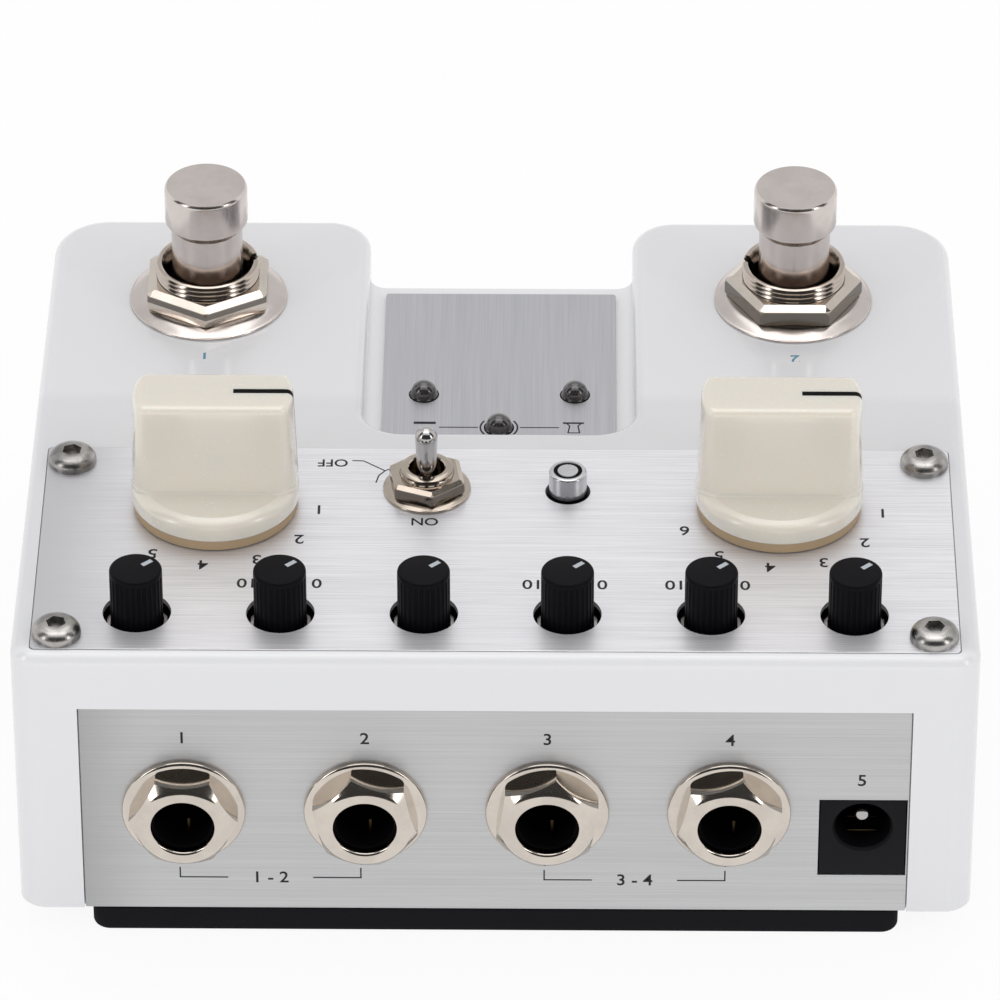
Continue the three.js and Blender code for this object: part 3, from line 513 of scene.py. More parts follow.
    def bevel(self, chosen: Callable[[bmesh.types.BMEdge], bool], offset: float, segments: int) -> "Form":
        """Rounds edges.

        Args:
            chosen: says of an edge whether it is rounded.
            offset: width of the rounding on each side.
            segments: steps in it.

        Returns:
            This form.
        """
        edges = [edge for edge in self.mesh.edges if chosen(edge)]
        bmesh.ops.bevel(
            self.mesh, geom=edges, offset=offset, offset_type="OFFSET", affect="EDGES",
            segments=segments, profile=0.5, material=-1, clamp_overlap=True,
        )
        return self

    def soften(self, offset: float, segments: int = 2, angle: float = 50.0) -> "Form":
        """Rounds every edge whose faces turn by more than an angle in degrees."""
        limit = math.radians(angle)
        return self.bevel(lambda e: e.is_manifold and e.calc_face_angle(0) > limit, offset, segments)

    def piece(
        self, name: str, finish: "Finish", *replaced: str,
        body: str = CHASSIS, smooth: float = 32.0, weighted: bool = False,
    ) -> None:
        """Makes the form a finished piece of the pedal.

        Args:
            name: the piece's name.
            finish: what it is dressed in.
            replaced: the CAD nodes that it stands for.
            body: the CAD body that it rides on.
            smooth: edges that turn by less than this angle in degrees are shaded smooth.
            weighted: whether large flat faces keep their normals up to their edges.
        """
        bmesh.ops.scale(self.mesh, verts=self.mesh.verts, vec=(MM, MM, MM))
        made = self.holder(name)
        made.data.shade_smooth()
        made.data.set_sharp_from_angle(angle=math.radians(smooth))
        made.data.materials.append(finish.material())
        if weighted:
            normals = made.modifiers.new("normals", "WEIGHTED_NORMAL")
            normals.keep_sharp, normals.weight = True, FLAT_WEIGHT
        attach(made, body)
        if replaced:
            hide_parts(*replaced)
        log.info("%s on %s, %d faces", name, body, len(made.data.polygons))


@dataclass(frozen=True)
class Signal:
    """One output of a node, with the maths that the finishes use."""

    recipe: "Recipe"
    socket: bpy.types.NodeSocket

    def _maths(self, operation: str, first: "Feed", second: "Feed") -> "Signal":
        """One Math node on two values."""
        return self.recipe.add("ShaderNodeMath", {"operation": operation}, {0: first, 1: second})

    def __add__(self, other: "Feed") -> "Signal":
        """This plus another."""
        return self._maths("ADD", self, other)

    __radd__ = __add__

    def __rsub__(self, other: Number) -> "Signal":
        """Another less this."""
        return self._maths("SUBTRACT", other, self)

    def __mul__(self, other: "Feed") -> "Signal":
        """This times another."""
        return self._maths("MULTIPLY", self, other)

    __rmul__ = __mul__

    def size(self) -> "Signal":
        """This without its sign."""
        return self._maths("ABSOLUTE", self, 0.0)

    def above(self, other: "Feed") -> "Signal":
        """The larger of this and another."""
        return self._maths("MAXIMUM", self, other)

    def step(self, low: float, high: float) -> "Signal":
        """A smooth rise from 0 at low to 1 at high."""
        sockets = {"Value": self, "From Min": low, "From Max": high}
        return self.recipe.add("ShaderNodeMapRange", {"interpolation_type": "SMOOTHSTEP"}, sockets)

    def output(self, name: str) -> "Signal":
        """Another output of the same node."""
        return Signal(self.recipe, self.socket.node.outputs[name])


Feed = Union[Signal, Number, Sequence[float]]
Sockets = dict[Union[str, int], Feed]


class Recipe:
    """The node tree of one finish, of the surroundings or of a stage piece."""

    def __init__(self, tree: bpy.types.NodeTree) -> None:
        """Starts on an emptied tree."""
        self.tree = tree
        tree.nodes.clear()

    def add(
        self, kind: str, settings: Optional[dict[str, object]] = None, sockets: Optional[Sockets] = None,
        output: Union[str, int] = 0,
    ) -> Optional[Signal]:
        """Adds any node.

        Args:
            kind: the node's type.
            settings: its own settings, set first.
            sockets: a value or a signal for each input that is set.
            output: the output that is handed back.

        Returns:
            That output as a signal, where the node has one.
        """
        node = self.tree.nodes.new(kind)
        for key, value in (settings or {}).items():
            setattr(node, key, value)
        for key, value in (sockets or {}).items():
            if isinstance(value, Signal):
                self.tree.links.new(value.socket, node.inputs[key])
            else:
                node.inputs[key].default_value = value
        return Signal(self, node.outputs[output]) if len(node.outputs) else None

    def blend(self, share: Feed, first: Feed, second: Feed) -> Signal:
        """A colour between two others, by a share from 0 to 1."""
        return self.add("ShaderNodeMix", {"data_type": "RGBA"}, {0: share, 6: first, 7: second}, 2)

    def grain(self, scale: Union[float, Sequence[float]], detail: float, roughness: float = 0.5) -> Signal:
        """Noise on object coordinates.

        Args:
            scale: features per metre, the same on all axes or along X, Y and Z.
            detail: how many finer layers it has.
            roughness: how strong those are.

        Returns:
            The noise, about 0.5 on average.
        """
        places = self.add("ShaderNodeTexCoord", output="Object")
        size = (scale,) * 3 if isinstance(scale, float) else scale
        sized = self.add("ShaderNodeMapping", sockets={"Vector": places, "Scale": size})
        sockets = {"Vector": sized, "Scale": 1.0, "Detail": detail, "Roughness": roughness}
        return self.add("ShaderNodeTexNoise", sockets=sockets)

    def axis(self, name: str) -> Signal:
        """X, Y or Z of the object coordinates."""
        places = self.add("ShaderNodeTexCoord", output="Object")
        return self.add("ShaderNodeSeparateXYZ", sockets={0: places}, output=name)

    def rise(self, axis: str, low: float, high: float) -> Signal:
        """A smooth rise from 0 to 1 along an axis, between two places in millimetres."""
        return self.axis(axis).step(low * MM, high * MM)

    def bump(self, height: Signal, strength: float, distance: float = 0.02) -> Signal:
        """A normal from a height, over a distance in millimetres."""
        sockets = {"Height": height, "Strength": strength, "Distance": distance * MM}
        return self.add("ShaderNodeBump", sockets=sockets)

    def lit_white(self) -> Signal:
        """1 for what the camera, shiny surfaces and clear ones see, otherwise 0."""
        path = self.add("ShaderNodeLightPath")
        return path.above(path.output("Is Glossy Ray")).above(path.output("Is Transmission Ray"))


def fresh(name: str) -> tuple[bpy.types.Material, Recipe]:
    """A new material and its emptied tree.

    Args:
        name: the material's name.

    Returns:
        Both.
    """
    material = bpy.data.materials.new(name)
    material.use_nodes = True
    return material, Recipe(material.node_tree)


@dataclass(frozen=True)
class Finish:
    """What all finishes have: a name, a slot, a colour and a roughness."""

    name: str
    slot: Slot
    colour: Triple
    roughness: float

    def tone(self, factor: float = 1.0) -> tuple[float, ...]:
        """The colour, made darker or lighter by a factor."""
        return (*(min(1.0, part * factor) for part in self.colour), 1.0)

    def sockets(self, recipe: Recipe) -> Sockets:
        """What goes into the sockets of its surface."""
        raise NotImplementedError

    @functools.cache
    def material(self) -> bpy.types.Material:
        """The finish's material, built once.

        Returns:
            The material.
        """
        material, recipe = fresh(self.name)
        shader = recipe.add("ShaderNodeBsdfPrincipled", sockets=self.sockets(recipe))
        recipe.add("ShaderNodeOutputMaterial", sockets={"Surface": shader})
        return material


@dataclass(frozen=True)
class Paint(Finish):
    """Sprayed gloss paint with a faint orange peel, painted shade on the deck before the crease and painted
    light on the channel floor.
    """

    blend_length: float = 3.0
    # darker, upper and lip: painted shade on the deck before the crease
    darker: float = 0.925
    lighter: float = 1.08
    upper: Pair = (36.2, 38.2)
    lip: Pair = (-40.9, -39.9)
    # lighter and these two spans: painted light on the channel floor, against the shade of its walls
    painted_channel_light: Pair = (-2.0, 2.0)
    painted_channel_light_half: Pair = (17.0, 18.0)
    cloud: float = 25.0
    cloudy: float = 0.985
    haze: float = 180.0
    spread: float = 0.06
    coat: float = 0.6
    coat_blur: float = 0.06
    peel: float = 900.0
    relief: float = 0.12

    def sockets(self, recipe: Recipe) -> Sockets:
        """What goes into the sockets of its surface.

        Args:
            recipe: the tree that they are in.

        Returns:
            A value or a signal for each.
        """
        crease = Place.of("housing").low.y + CREASE_FROM_FACE
        behind = recipe.rise("Y", crease - self.blend_length, crease)
        upper = recipe.rise("Z", *self.upper)
        # painted shade on the deck before the crease
        front = (1 - behind) * upper * recipe.rise("Y", *self.lip)
        beside = recipe.axis("X").size().step(*(half * MM for half in self.painted_channel_light_half))
        # painted light on the channel floor
        painted_channel_light = (1 - upper) * recipe.rise("Y", *self.painted_channel_light) * (1 - beside)
        tint = recipe.blend(recipe.grain(self.cloud, 2.0), self.tone(self.cloudy), self.tone())
        tint = recipe.blend(front, tint, self.tone(self.darker))
        return {
            "Base Color": recipe.blend(painted_channel_light, tint, self.tone(self.lighter)),
            "Roughness": self.roughness + self.spread * recipe.grain(self.haze, 3.0),
            "Coat Weight": self.coat,
            "Coat Roughness": self.coat_blur,
            "Normal": recipe.bump(recipe.grain(self.peel, 2.0), self.relief),
        }


@dataclass(frozen=True)
class Brushed(Finish):
    """Brushed metal sheet with long scratches along one axis, fainter broad bands and painted shade towards
    its left end.
    """

    along: int = 0
    contrast: float = 0.15
    line: float = 0.11
    length: float = 20.0
    scatter: float = 0.7
    broad: float = 12.0
    broad_length: float = 4.0
    broad_share: float = 0.14
    between: Pair = (0.28, 0.72)
    spread: float = 0.16
    relief: float = 0.35
    metal: float = 0.85
    # painted shade towards the left end: how dark it gets, and where it fades out along X
    painted_left_shade: float = 1.0
    painted_left_shade_span: Pair = (-52.0, -37.0)

    def lines(self, recipe: Recipe, width: float, length: float, detail: float) -> Signal:
        """Streaks of a given width and length in millimetres.

        Args:
            recipe: the tree that they are in.
            width: how wide they are.
            length: how long they are.
            detail: how many finer layers they have.

        Returns:
            The noise.
        """
        scale = [1 / (width * MM)] * 3
        scale[self.along] = 1 / (length * MM)
        return recipe.grain(scale, detail, self.scatter)

    def sockets(self, recipe: Recipe) -> Sockets:
        """What goes into the sockets of its surface.

        Args:
            recipe: the tree that they are in.

        Returns:
            A value or a signal for each.
        """
        fine = self.lines(recipe, self.line, self.length, 3.0)
        broad = self.lines(recipe, self.line * self.broad, self.length * self.broad_length, 2.0)
        lift = ((1 - self.broad_share) * fine + self.broad_share * broad).step(*self.between)
        tint = recipe.blend(lift, self.tone(1 - self.contrast), self.tone(1 + self.contrast))
        # painted shade towards the sheet's left end
        if self.painted_left_shade < 1.0:
            tint = recipe.blend(recipe.rise("X", *self.painted_left_shade_span), self.tone(self.painted_left_shade), tint)
        return {
            "Base Color": tint,
            "Metallic": self.metal,
            "Roughness": self.roughness + self.spread * fine,
            "Normal": recipe.bump(fine, self.relief),
        }


@dataclass(frozen=True)
class Plated(Finish):
    """Smooth plated metal, darker where it is handled, with painted shade in a low band and fine turning
    marks.
    """

    mark: float = 0.05
    marks: Triple = (500.0, 500.0, 9000.0)
    wear: float = 260.0
    worn: Pair = (0.35, 0.7)
    darker: float = 0.9
    spread: float = 0.06
    # a band of painted shade: its top, its foot (a foot of 0 lets it reach down to the floor), its darkness
    # and how softly it starts
    painted_shade_top: float = 0.0
    painted_shade_foot: float = 0.0
    deep: float = 0.3
    painted_shade_blend: float = 0.12

    def sockets(self, recipe: Recipe) -> Sockets:
        """What goes into the sockets of its surface.

        Args:
            recipe: the tree that they are in.

        Returns:
            A value or a signal for each.
        """
        wear = recipe.grain(self.wear, 4.0, 0.6)
        tint = recipe.blend(wear.step(*self.worn), self.tone(), self.tone(self.darker))
        # painted shade in the band
        if self.painted_shade_top:
            ends, run = (self.painted_shade_top, self.painted_shade_foot), self.painted_shade_blend
            above, over = (recipe.rise("Z", height - run, height) for height in ends)
            tint = recipe.blend((1 - above) * over, tint, self.tone(self.deep))
        return {
            "Base Color": tint,
            "Metallic": 1.0,
            "Roughness": self.roughness + self.spread * wear,
            "Normal": recipe.bump(recipe.grain(self.marks, 3.0), self.mark, 0.01),
        }


@dataclass(frozen=True)
class Moulded(Finish):
    """Moulded plastic or rubber with a fine grain and slight clouds in its colour."""

    grit: float = 2500.0
    relief: float = 0.15
    spread: float = 0.08
    cloud: float = 140.0
    cloudy: float = 0.94
    coat: float = 0.0
    coat_blur: float = 0.06
    inner: float = 0.0
    depth: float = 1.5
    reach: Triple = (1.0, 0.72, 0.48)
    gloss: float = 0.5

    def sockets(self, recipe: Recipe) -> Sockets:
        """What goes into the sockets of its surface.

        Args:
            recipe: the tree that they are in.

        Returns:
            A value or a signal for each.
        """
        grit = recipe.grain(self.grit, 2.0)
        sockets: Sockets = {
            "Base Color": recipe.blend(recipe.grain(self.cloud, 3.0), self.tone(self.cloudy), self.tone()),
            "Roughness": self.roughness + self.spread * grit,
            "Specular IOR Level": self.gloss,
            "Normal": recipe.bump(grit, self.relief),
        }
        if self.coat:
            sockets |= {"Coat Weight": self.coat, "Coat Roughness": self.coat_blur}
        if self.inner:
            sockets |= {"Subsurface Weight": self.inner, "Subsurface Radius": self.reach}
            sockets |= {"Subsurface Scale": self.depth * MM}
        return sockets


@dataclass(frozen=True)
class Lens(Finish):
    """Smoked clear plastic over a dark inside."""

    cloud: float = 900.0
    lighter: float = 1.6
    spread: float = 0.05
    bending: float = 1.55
    coat_blur: float = 0.02

    def sockets(self, recipe: Recipe) -> Sockets:
        """What goes into the sockets of its surface.

        Args:
            recipe: the tree that they are in.

        Returns:
            A value or a signal for each.
        """
        clouds = recipe.grain(self.cloud, 2.0)
        return {
            "Base Color": recipe.blend(clouds, self.tone(), self.tone(self.lighter)),
            "Roughness": self.roughness + self.spread * clouds,
            "IOR": self.bending,
            "Coat Weight": 1.0,
            "Coat Roughness": self.coat_blur,
        }


@dataclass(frozen=True)
class Board(Finish):
    """A circuit board: lacquer over copper tracks."""

    track: Triple = (400.0, 90.0, 400.0)
    track_edge: Pair = (0.5, 0.52)
    lighter: float = 1.7
    spread: float = 0.1
    relief: Pair = (0.3, 0.03)

    def sockets(self, recipe: Recipe) -> Sockets:
        """What goes into the sockets of its surface.

        Args:
            recipe: the tree that they are in.

        Returns:
            A value or a signal for each.
        """
        tracks = recipe.grain(self.track, 1.0).step(*self.track_edge)
        return {
            "Base Color": recipe.blend(tracks, self.tone(), self.tone(self.lighter)),
            "Roughness": self.roughness + self.spread * tracks,
            "Normal": recipe.bump(tracks, *self.relief),
        }


PAINT = Paint("gloss_white", Slot.PAINT, (0.82, 0.82, 0.84), 0.22)
# both plain sheets get a painted shade at their left ends
CONTROL_METAL = Brushed(
    "brushed_light", Slot.BRUSHED, (0.80, 0.795, 0.825), 0.3,
    line=0.09, length=14.0, relief=0.45, metal=0.6, painted_left_shade=0.68,
)
JACK_METAL = Brushed(
    "brushed_grey", Slot.GREY, (0.56, 0.56, 0.565), 0.34, contrast=0.1, length=30.0, painted_left_shade=0.66
)
CHANNEL_METAL = Brushed("brushed_cross", Slot.GREY, (0.475, 0.475, 0.50), 0.34, along=1, contrast=0.09)
NICKEL = Plated("nickel", Slot.NICKEL, (0.66, 0.60, 0.535), 0.09)
BUSH = Plated("nickel_bush", Slot.NICKEL, (0.52, 0.455, 0.40), 0.11, mark=0.15)
# the footswitch nut finishes carry a painted shade band low on their flats
NUT = Plated("nickel_nut", Slot.NICKEL, (0.70, 0.635, 0.565), 0.1, mark=0.1, painted_shade_top=41.55)
NUTS = {"right": NUT, "left": replace(NUT, name="nickel_nut_left", painted_shade_foot=40.75)}
SATIN = Plated("nickel_satin", Slot.NICKEL, (0.66, 0.60, 0.57), 0.17, mark=0.12)
SMALL_NICKEL = Plated("nickel_small", Slot.NICKEL, (0.50, 0.435, 0.37), 0.1)
# painted shade band low on the toggle nut
SMALL_NUT = replace(SMALL_NICKEL, name="nickel_small_nut", painted_shade_top=40.9, deep=0.45)
CHROME = Plated("chrome", Slot.NICKEL, (0.50, 0.485, 0.48), 0.1)
STEEL = Plated("steel", Slot.STEEL, (0.47, 0.45, 0.435), 0.18, mark=0.25, darker=0.5, spread=0.2)
BROWN = Plated("contact", Slot.STEEL, (0.05, 0.035, 0.018), 0.35)
SILVER = Plated("satin_silver", Slot.SILVER, (0.62, 0.62, 0.645), 0.24, mark=0.2)
KNOB = Moulded("knob_plastic", Slot.BLACK, (0.0035, 0.003, 0.0045), 0.4, gloss=0.07)
BLACK = Moulded("black_plastic", Slot.BLACK, (0.005, 0.0045, 0.006), 0.45, gloss=0.13)
PIT = Moulded("black_inside", Slot.BLACK, (0.003, 0.003, 0.0035), 0.6, gloss=0.08)
INK = Moulded("ink", Slot.BLACK, (0.022, 0.021, 0.025), 0.5, relief=0.05, gloss=0.2)
BLUE = Moulded("blue_ink", Slot.BLACK, (0.13, 0.30, 0.40), 0.45, relief=0.05, gloss=0.3)
POINTER = Moulded("pointer_line", Slot.BLACK, (0.003, 0.003, 0.0035), 0.45, relief=0.05, gloss=0.05)
CHALK = Moulded("pale_line", Slot.BLACK, (0.50, 0.54, 0.58), 0.5, relief=0.05)
RUBBER = Moulded("rubber", Slot.RUBBER, (0.009, 0.009, 0.011), 0.7, grit=1800.0, relief=0.4, gloss=0.1)
BLACK_STEEL = Moulded("black_steel", Slot.STEEL_BLACK, (0.015, 0.015, 0.017), 0.45, relief=0.3, gloss=0.3)
CREAM = Moulded("cream", Slot.CREAM, (0.81, 0.76, 0.67), 0.22, relief=0.02, cloudy=0.985, coat=1.0, inner=0.4)
# dark cream for the ring under each bar knob: a painted shadow of the knob on the plate
PAINTED_KNOB_SHADOW = Moulded("painted_knob_shadow", Slot.CREAM, (0.47, 0.345, 0.215), 0.5, relief=0.02, gloss=0.1)
SMOKED = Lens("smoked", Slot.LENS, (0.024, 0.021, 0.021), 0.05)
GREEN_BOARD = Board("board", Slot.BOARD, (0.015, 0.09, 0.035), 0.45)


def drill(node: str, diameter: float, low: float, high: float) -> Form:
    """An upright drill on the middle of a node, between two heights."""
    return Form.rod(diameter / 2, low, high).over(node)


@dataclass(frozen=True)
class Openings:
    """The widths of the holes that controls and sockets pass through."""

    pot: float = 7.6
    well: float = 8.1
    rotary: float = 9.6
    toggle: float = 6.8
    button: float = 5.1
    button_forward: float = 0.3
    screw: float = 3.4
    lamp: float = 3.5
    footswitch: float = 12.7
    jack: float = 9.5
    socket: float = 0.4

    def deck(self, low: float, high: float, pot: float) -> Form:
        """The holes under and through the control plate.

        Args:
            low: height of their feet.
            high: height of their tops.
            pot: width of the six small ones.

        Returns:
            All drills in one form.
        """
        sizes = {f"potentiometer_{i}": pot for i in range(1, 7)}
        sizes |= {f"rotary_switch_{hand}": self.rotary for hand in HANDS.values()}
        sizes |= {f"plate_screw_{i}": self.screw for i in range(1, 5)} | {"toggle_body": self.toggle}
        drills = [drill(node, size, low, high) for node, size in sizes.items()]
        return Form().join(*drills, drill("push_button", self.button, low, high).move(y=-self.button_forward))

    def lamps(self, low: float, high: float) -> Form:
        """The holes of the three lamps."""
        return Form().join(*(drill(f"lamp_{i}", self.lamp, low, high) for i in range(1, 4)))

    def lobes(self, low: float, high: float) -> Form:
        """The holes of the two footswitches."""
        nodes = [f"footswitch_body_{hand}" for hand in HANDS.values()]
        return Form().join(*(drill(node, self.footswitch, low, high) for node in nodes))

    def front(self, near: float, far: float, lower: float = 0.0) -> Form:
        """The holes of the four jacks and the power socket.

        Args:
            near: where along Y they start.
            far: where along Y they end.
            lower: how much lower than the socket's top its window ends.

        Returns:
            All drills in one form.
        """
        form, gap = Form(), self.socket
        for middle in (Place.of(f"jack_socket_{i}").middle for i in range(1, 5)):
            form.join(Form.rod(self.jack / 2, -far, -near).stand(middle.x, 0, middle.z))
        place = Place.of("dc_socket")
        low, high = place.low, place.high
        window = Form.block((low.x - gap, near, low.z - gap), (high.x + gap, far, high.z + gap - lower))
        return form.join(window)


OPENINGS = Openings()


@dataclass
class Housing:
    """The white die-cast shell: a U plan, a rounded deck edge, a sunk channel and recesses for two plates."""

    front_width: float = 107.8
    rear_width: float = 106.6
    front_corner: float = 3.0
    lobe_outer: float = 6.5
    lobe_inner: float = 5.0
    notch_corner: float = 2.0
    fall: float = 0.4
    fillet: float = 1.5
    fillet_steps: int = 8
    rim_edge: float = 0.3
    floor_edge: float = 0.8
    floor_steps: int = 5
    channel_depth: float = 3.0
    channel_from_face: float = 44.2
    channel_corner: float = 4.5
    wall: float = 2.4
    roof: float = 2.4
    pan: float = 2.2
    plate_corner: float = 0.6
    control_gap: float = 0.1
    jack_gap: float = 0.12

    def __post_init__(self) -> None:
        """Takes the shell's places from its node."""
        place = Place.of("housing")
        self.face, self.back = place.low.y, place.high.y
        self.rim, self.deck = place.low.z, place.high.z
        self.floor = self.deck - self.channel_depth
        self.crease = self.face + CREASE_FROM_FACE
        self.notch = self.back - NOTCH_DEPTH

    def outline(self, slot_end: float, corner: float, split: bool) -> list[Triple]:
        """The corners of the U plan.

        Args:
            slot_end: how far forward the gap between the lobes reaches.
            corner: radius of its two inner corners.
            split: whether the gap's sides have a plain point where the notch's corners start.

        Returns:
            The corners, counter-clockwise from the front left.
        """
        share = CREASE_FROM_FACE / (self.back - self.face)
        crease_half = (self.front_width + (self.rear_width - self.front_width) * share) / 2
        right = [
            (self.front_width / 2, self.face, self.front_corner),
            (crease_half, self.crease, 0),
            (self.rear_width / 2, self.back, self.lobe_outer),
            (NOTCH_HALF, self.back, self.lobe_inner),
            *([(NOTCH_HALF, self.notch + self.notch_corner, 0)] if split else []),
            (NOTCH_HALF, slot_end, corner),
        ]
        return mirrored(right, -1)

    def skin(self) -> Form:
        """The closed outer skin, with its rounded edges and its falling deck.

        Returns:
            The form.
        """
        low = self.outline(self.notch, self.notch_corner, False)
        upper = rounded(self.outline(self.face + self.channel_from_face, self.channel_corner, True))
        plan, edge = rounded(low), self.rim_edge
        levels = [(self.rim, rounded(low, edge)), (self.rim + edge, plan), (self.floor, plan)]
        form = Form.loft(levels, capped=False)
        form.join(Form.loft([(self.floor, upper), (self.deck, upper)], capped=False))
        bmesh.ops.remove_doubles(form.mesh, verts=form.mesh.verts, dist=MERGE)
        for height in (self.rim, self.floor, self.deck):
            open_edges = [edge for edge in form.mesh.edges if edge.is_boundary and is_level(edge, height)]
            bmesh.ops.contextual_create(form.mesh, geom=open_edges)
        form.settle()
        form.bevel(edge_at(self.deck), self.fillet, self.fillet_steps)
        form.bevel(self.on_floor_edge, self.floor_edge, self.floor_steps)
        everything = [*form.mesh.verts, *form.mesh.edges, *form.mesh.faces]
        bmesh.ops.bisect_plane(form.mesh, geom=everything, plane_co=(0, self.crease, 0), plane_no=(0, 1, 0))
        run = self.back - self.crease
        for vert in form.mesh.verts:
            if vert.co.y > self.crease and vert.co.z > self.deck - self.fillet - MERGE:
                vert.co.z -= self.fall * (vert.co.y - self.crease) / run
        return form

    def on_floor_edge(self, edge: bmesh.types.BMEdge) -> bool:
        """Whether an edge lies where the channel's floor runs out into the notch.

        Args:
            edge: the edge.

        Returns:
            Whether it does.
        """
        reach = self.notch + self.notch_corner + MERGE
        near = all(self.notch - MERGE < vert.co.y < reach for vert in edge.verts)
        return near and edge_at(self.floor)(edge)

    def hollow(self) -> Form:
        """The room inside, with the channel's pan left standing.

        Returns:
            The tool that hollows the shell.
        """
        low = self.outline(self.notch, self.notch_corner, False)
        room = Form.prism(rounded(low, self.wall, 4), self.rim - OVERRUN, self.deck - self.fall - self.roof)
        half = NOTCH_HALF + self.fillet + self.pan
        front = self.face + self.channel_from_face - self.fillet - self.pan
        pan = rectangle(-half, half, front, self.back + OVERRUN, self.channel_corner + self.fillet)
        return room.cut(Form.prism(rounded(pan, 0, 6), self.floor - self.pan, self.deck))

    def recesses(self) -> list[Form]:
        """The pockets of the control plate, open above, and of the jack plate, open in front and below.

        Returns:
            The tools that cut them.
        """
        control, gap = Place.of("control_plate"), self.control_gap
        low, high = control.low, control.high
        corners = rectangle(low.x - gap, high.x + gap, low.y - gap, high.y + gap, self.plate_corner)
        above = Form.prism(rounded(corners, 0, 4), low.z, self.deck + OVERRUN)
        jack, gap = Place.of("jack_plate"), self.jack_gap
        near = (jack.low.x - gap, self.face - OVERRUN, self.rim - OVERRUN)
        return [above, Form.block(near, (jack.high.x + gap, jack.high.y, jack.high.z + gap))]

    def build(self) -> None:
        """Makes the shell."""
        under = self.deck - self.fall - self.roof - OVERRUN
        shell = self.skin().cut(
            self.hollow(),
            *self.recesses(),
            OPENINGS.deck(under, self.deck, OPENINGS.well),
            OPENINGS.lamps(self.floor - self.pan - OVERRUN, self.floor + OVERRUN),
            OPENINGS.lobes(under, self.deck + OVERRUN),
            OPENINGS.front(self.face - OVERRUN, self.face + self.wall + OVERRUN),
        )
        shell.piece("housing_shell", PAINT, "housing", smooth=30, weighted=True)


@dataclass
class Print:
    """Thin printed marks on one plate, drawn flat and then laid on it."""

    thickness: float = 0.012
    sink: float = 0.03

    def __post_init__(self) -> None:
        """Starts with no marks."""
        self.form = Form()

    def text(self, words: str, x: float, y: float, height: float, turn: float = 0.0) -> None:
        """Adds figures centred on x, y, turned by an angle."""
        made = Form.words(words, height, self.thickness + self.sink)
        self.form.join(made.rotate(turn).move(x, y, (self.thickness - self.sink) / 2))

    def line(self, points: Sequence[Pair], width: float) -> None:
        """Adds a bent line.

        Args:
            points: where it runs.
            width: its even width.
        """
        at = [Vector(point) for point in points]
        left, right = [], []
        for i, point in enumerate(at):
            into = (point - at[max(i - 1, 0)]).normalized()
            out = (at[min(i + 1, len(at) - 1)] - point).normalized()
            way = (into + out).normalized()
            side = Vector((-way.y, way.x)) * width / 2
            bend = max(0.5, side.normalized().dot(Vector((-out.y, out.x)))) if out.length else 1.0
            left.append(tuple(point + side / bend))
            right.append(tuple(point - side / bend))
        self.form.join(Form.prism([*right, *reversed(left)], -self.sink, self.thickness))


@dataclass
class Sheets:
    """The three metal sheets: under the controls, in the channel and behind the jacks."""

    edge: float = 0.08
    control_corner: float = 0.6
    channel_rear: float = 0.35
    channel_clip: float = 3.0
    channel_drop: float = 1.0
    jack_corner: float = 0.2
    window_drop: float = 1.1

    def control(self) -> None:
        """The brushed sheet under the knobs."""
        place = Place.of("control_plate")
        low, high = place.low, place.high
        outline = rounded(rectangle(low.x, high.x, low.y, high.y, self.control_corner), 0, 4)
        holes = OPENINGS.deck(low.z - OVERRUN, high.z + OVERRUN, OPENINGS.pot)
        sheet = Form.prism(outline, low.z, high.z).cut(holes).bevel(edge_at(high.z), self.edge, 2)
        sheet.piece("control_sheet", CONTROL_METAL, "control_plate", weighted=True)

    def channel(self) -> None:
        """The sheet round the lamps. Its near corners are long shallow arcs."""
        place = Place.of("channel_plate")
        low, high, clip = place.low, place.high, self.channel_clip
        radius = (clip**2 + self.channel_drop**2) / (2 * self.channel_drop)
        swing = math.degrees(math.asin(clip / radius))
        clipped = arc(high.x - clip, low.y + radius, radius, -90, swing - 90, CORNER_STEPS)
        outline = mirrored([*((x, y, 0) for x, y in clipped), (high.x, high.y, self.channel_rear)])
        sheet = Form.prism(rounded(outline), low.z, high.z)
        sheet.cut(OPENINGS.lamps(low.z - OVERRUN, high.z + OVERRUN)).bevel(edge_at(high.z), self.edge, 2)
        sheet.piece("channel_sheet", CHANNEL_METAL, "channel_plate", weighted=True)

    def jack(self) -> None:
        """The sheet behind the jacks, made lying and then stood up."""
        place = Place.of("jack_plate")
        low, high = place.low, place.high
        outline = rounded(rectangle(low.x, high.x, low.z, high.z, self.jack_corner), 0, 3)
        sheet = Form.prism(outline, -high.y, -low.y).rotate(90, "X")
        sheet.cut(OPENINGS.front(low.y - OVERRUN, high.y + OVERRUN, self.window_drop))
        sheet.rotate(-90, "X").bevel(edge_at(-low.y), self.edge, 2).rotate(90, "X")
        sheet.piece("jack_sheet", JACK_METAL, "jack_plate", weighted=True)

    def build(self) -> None:
        """Makes the three sheets."""
        self.control()
        self.channel()
        self.jack()


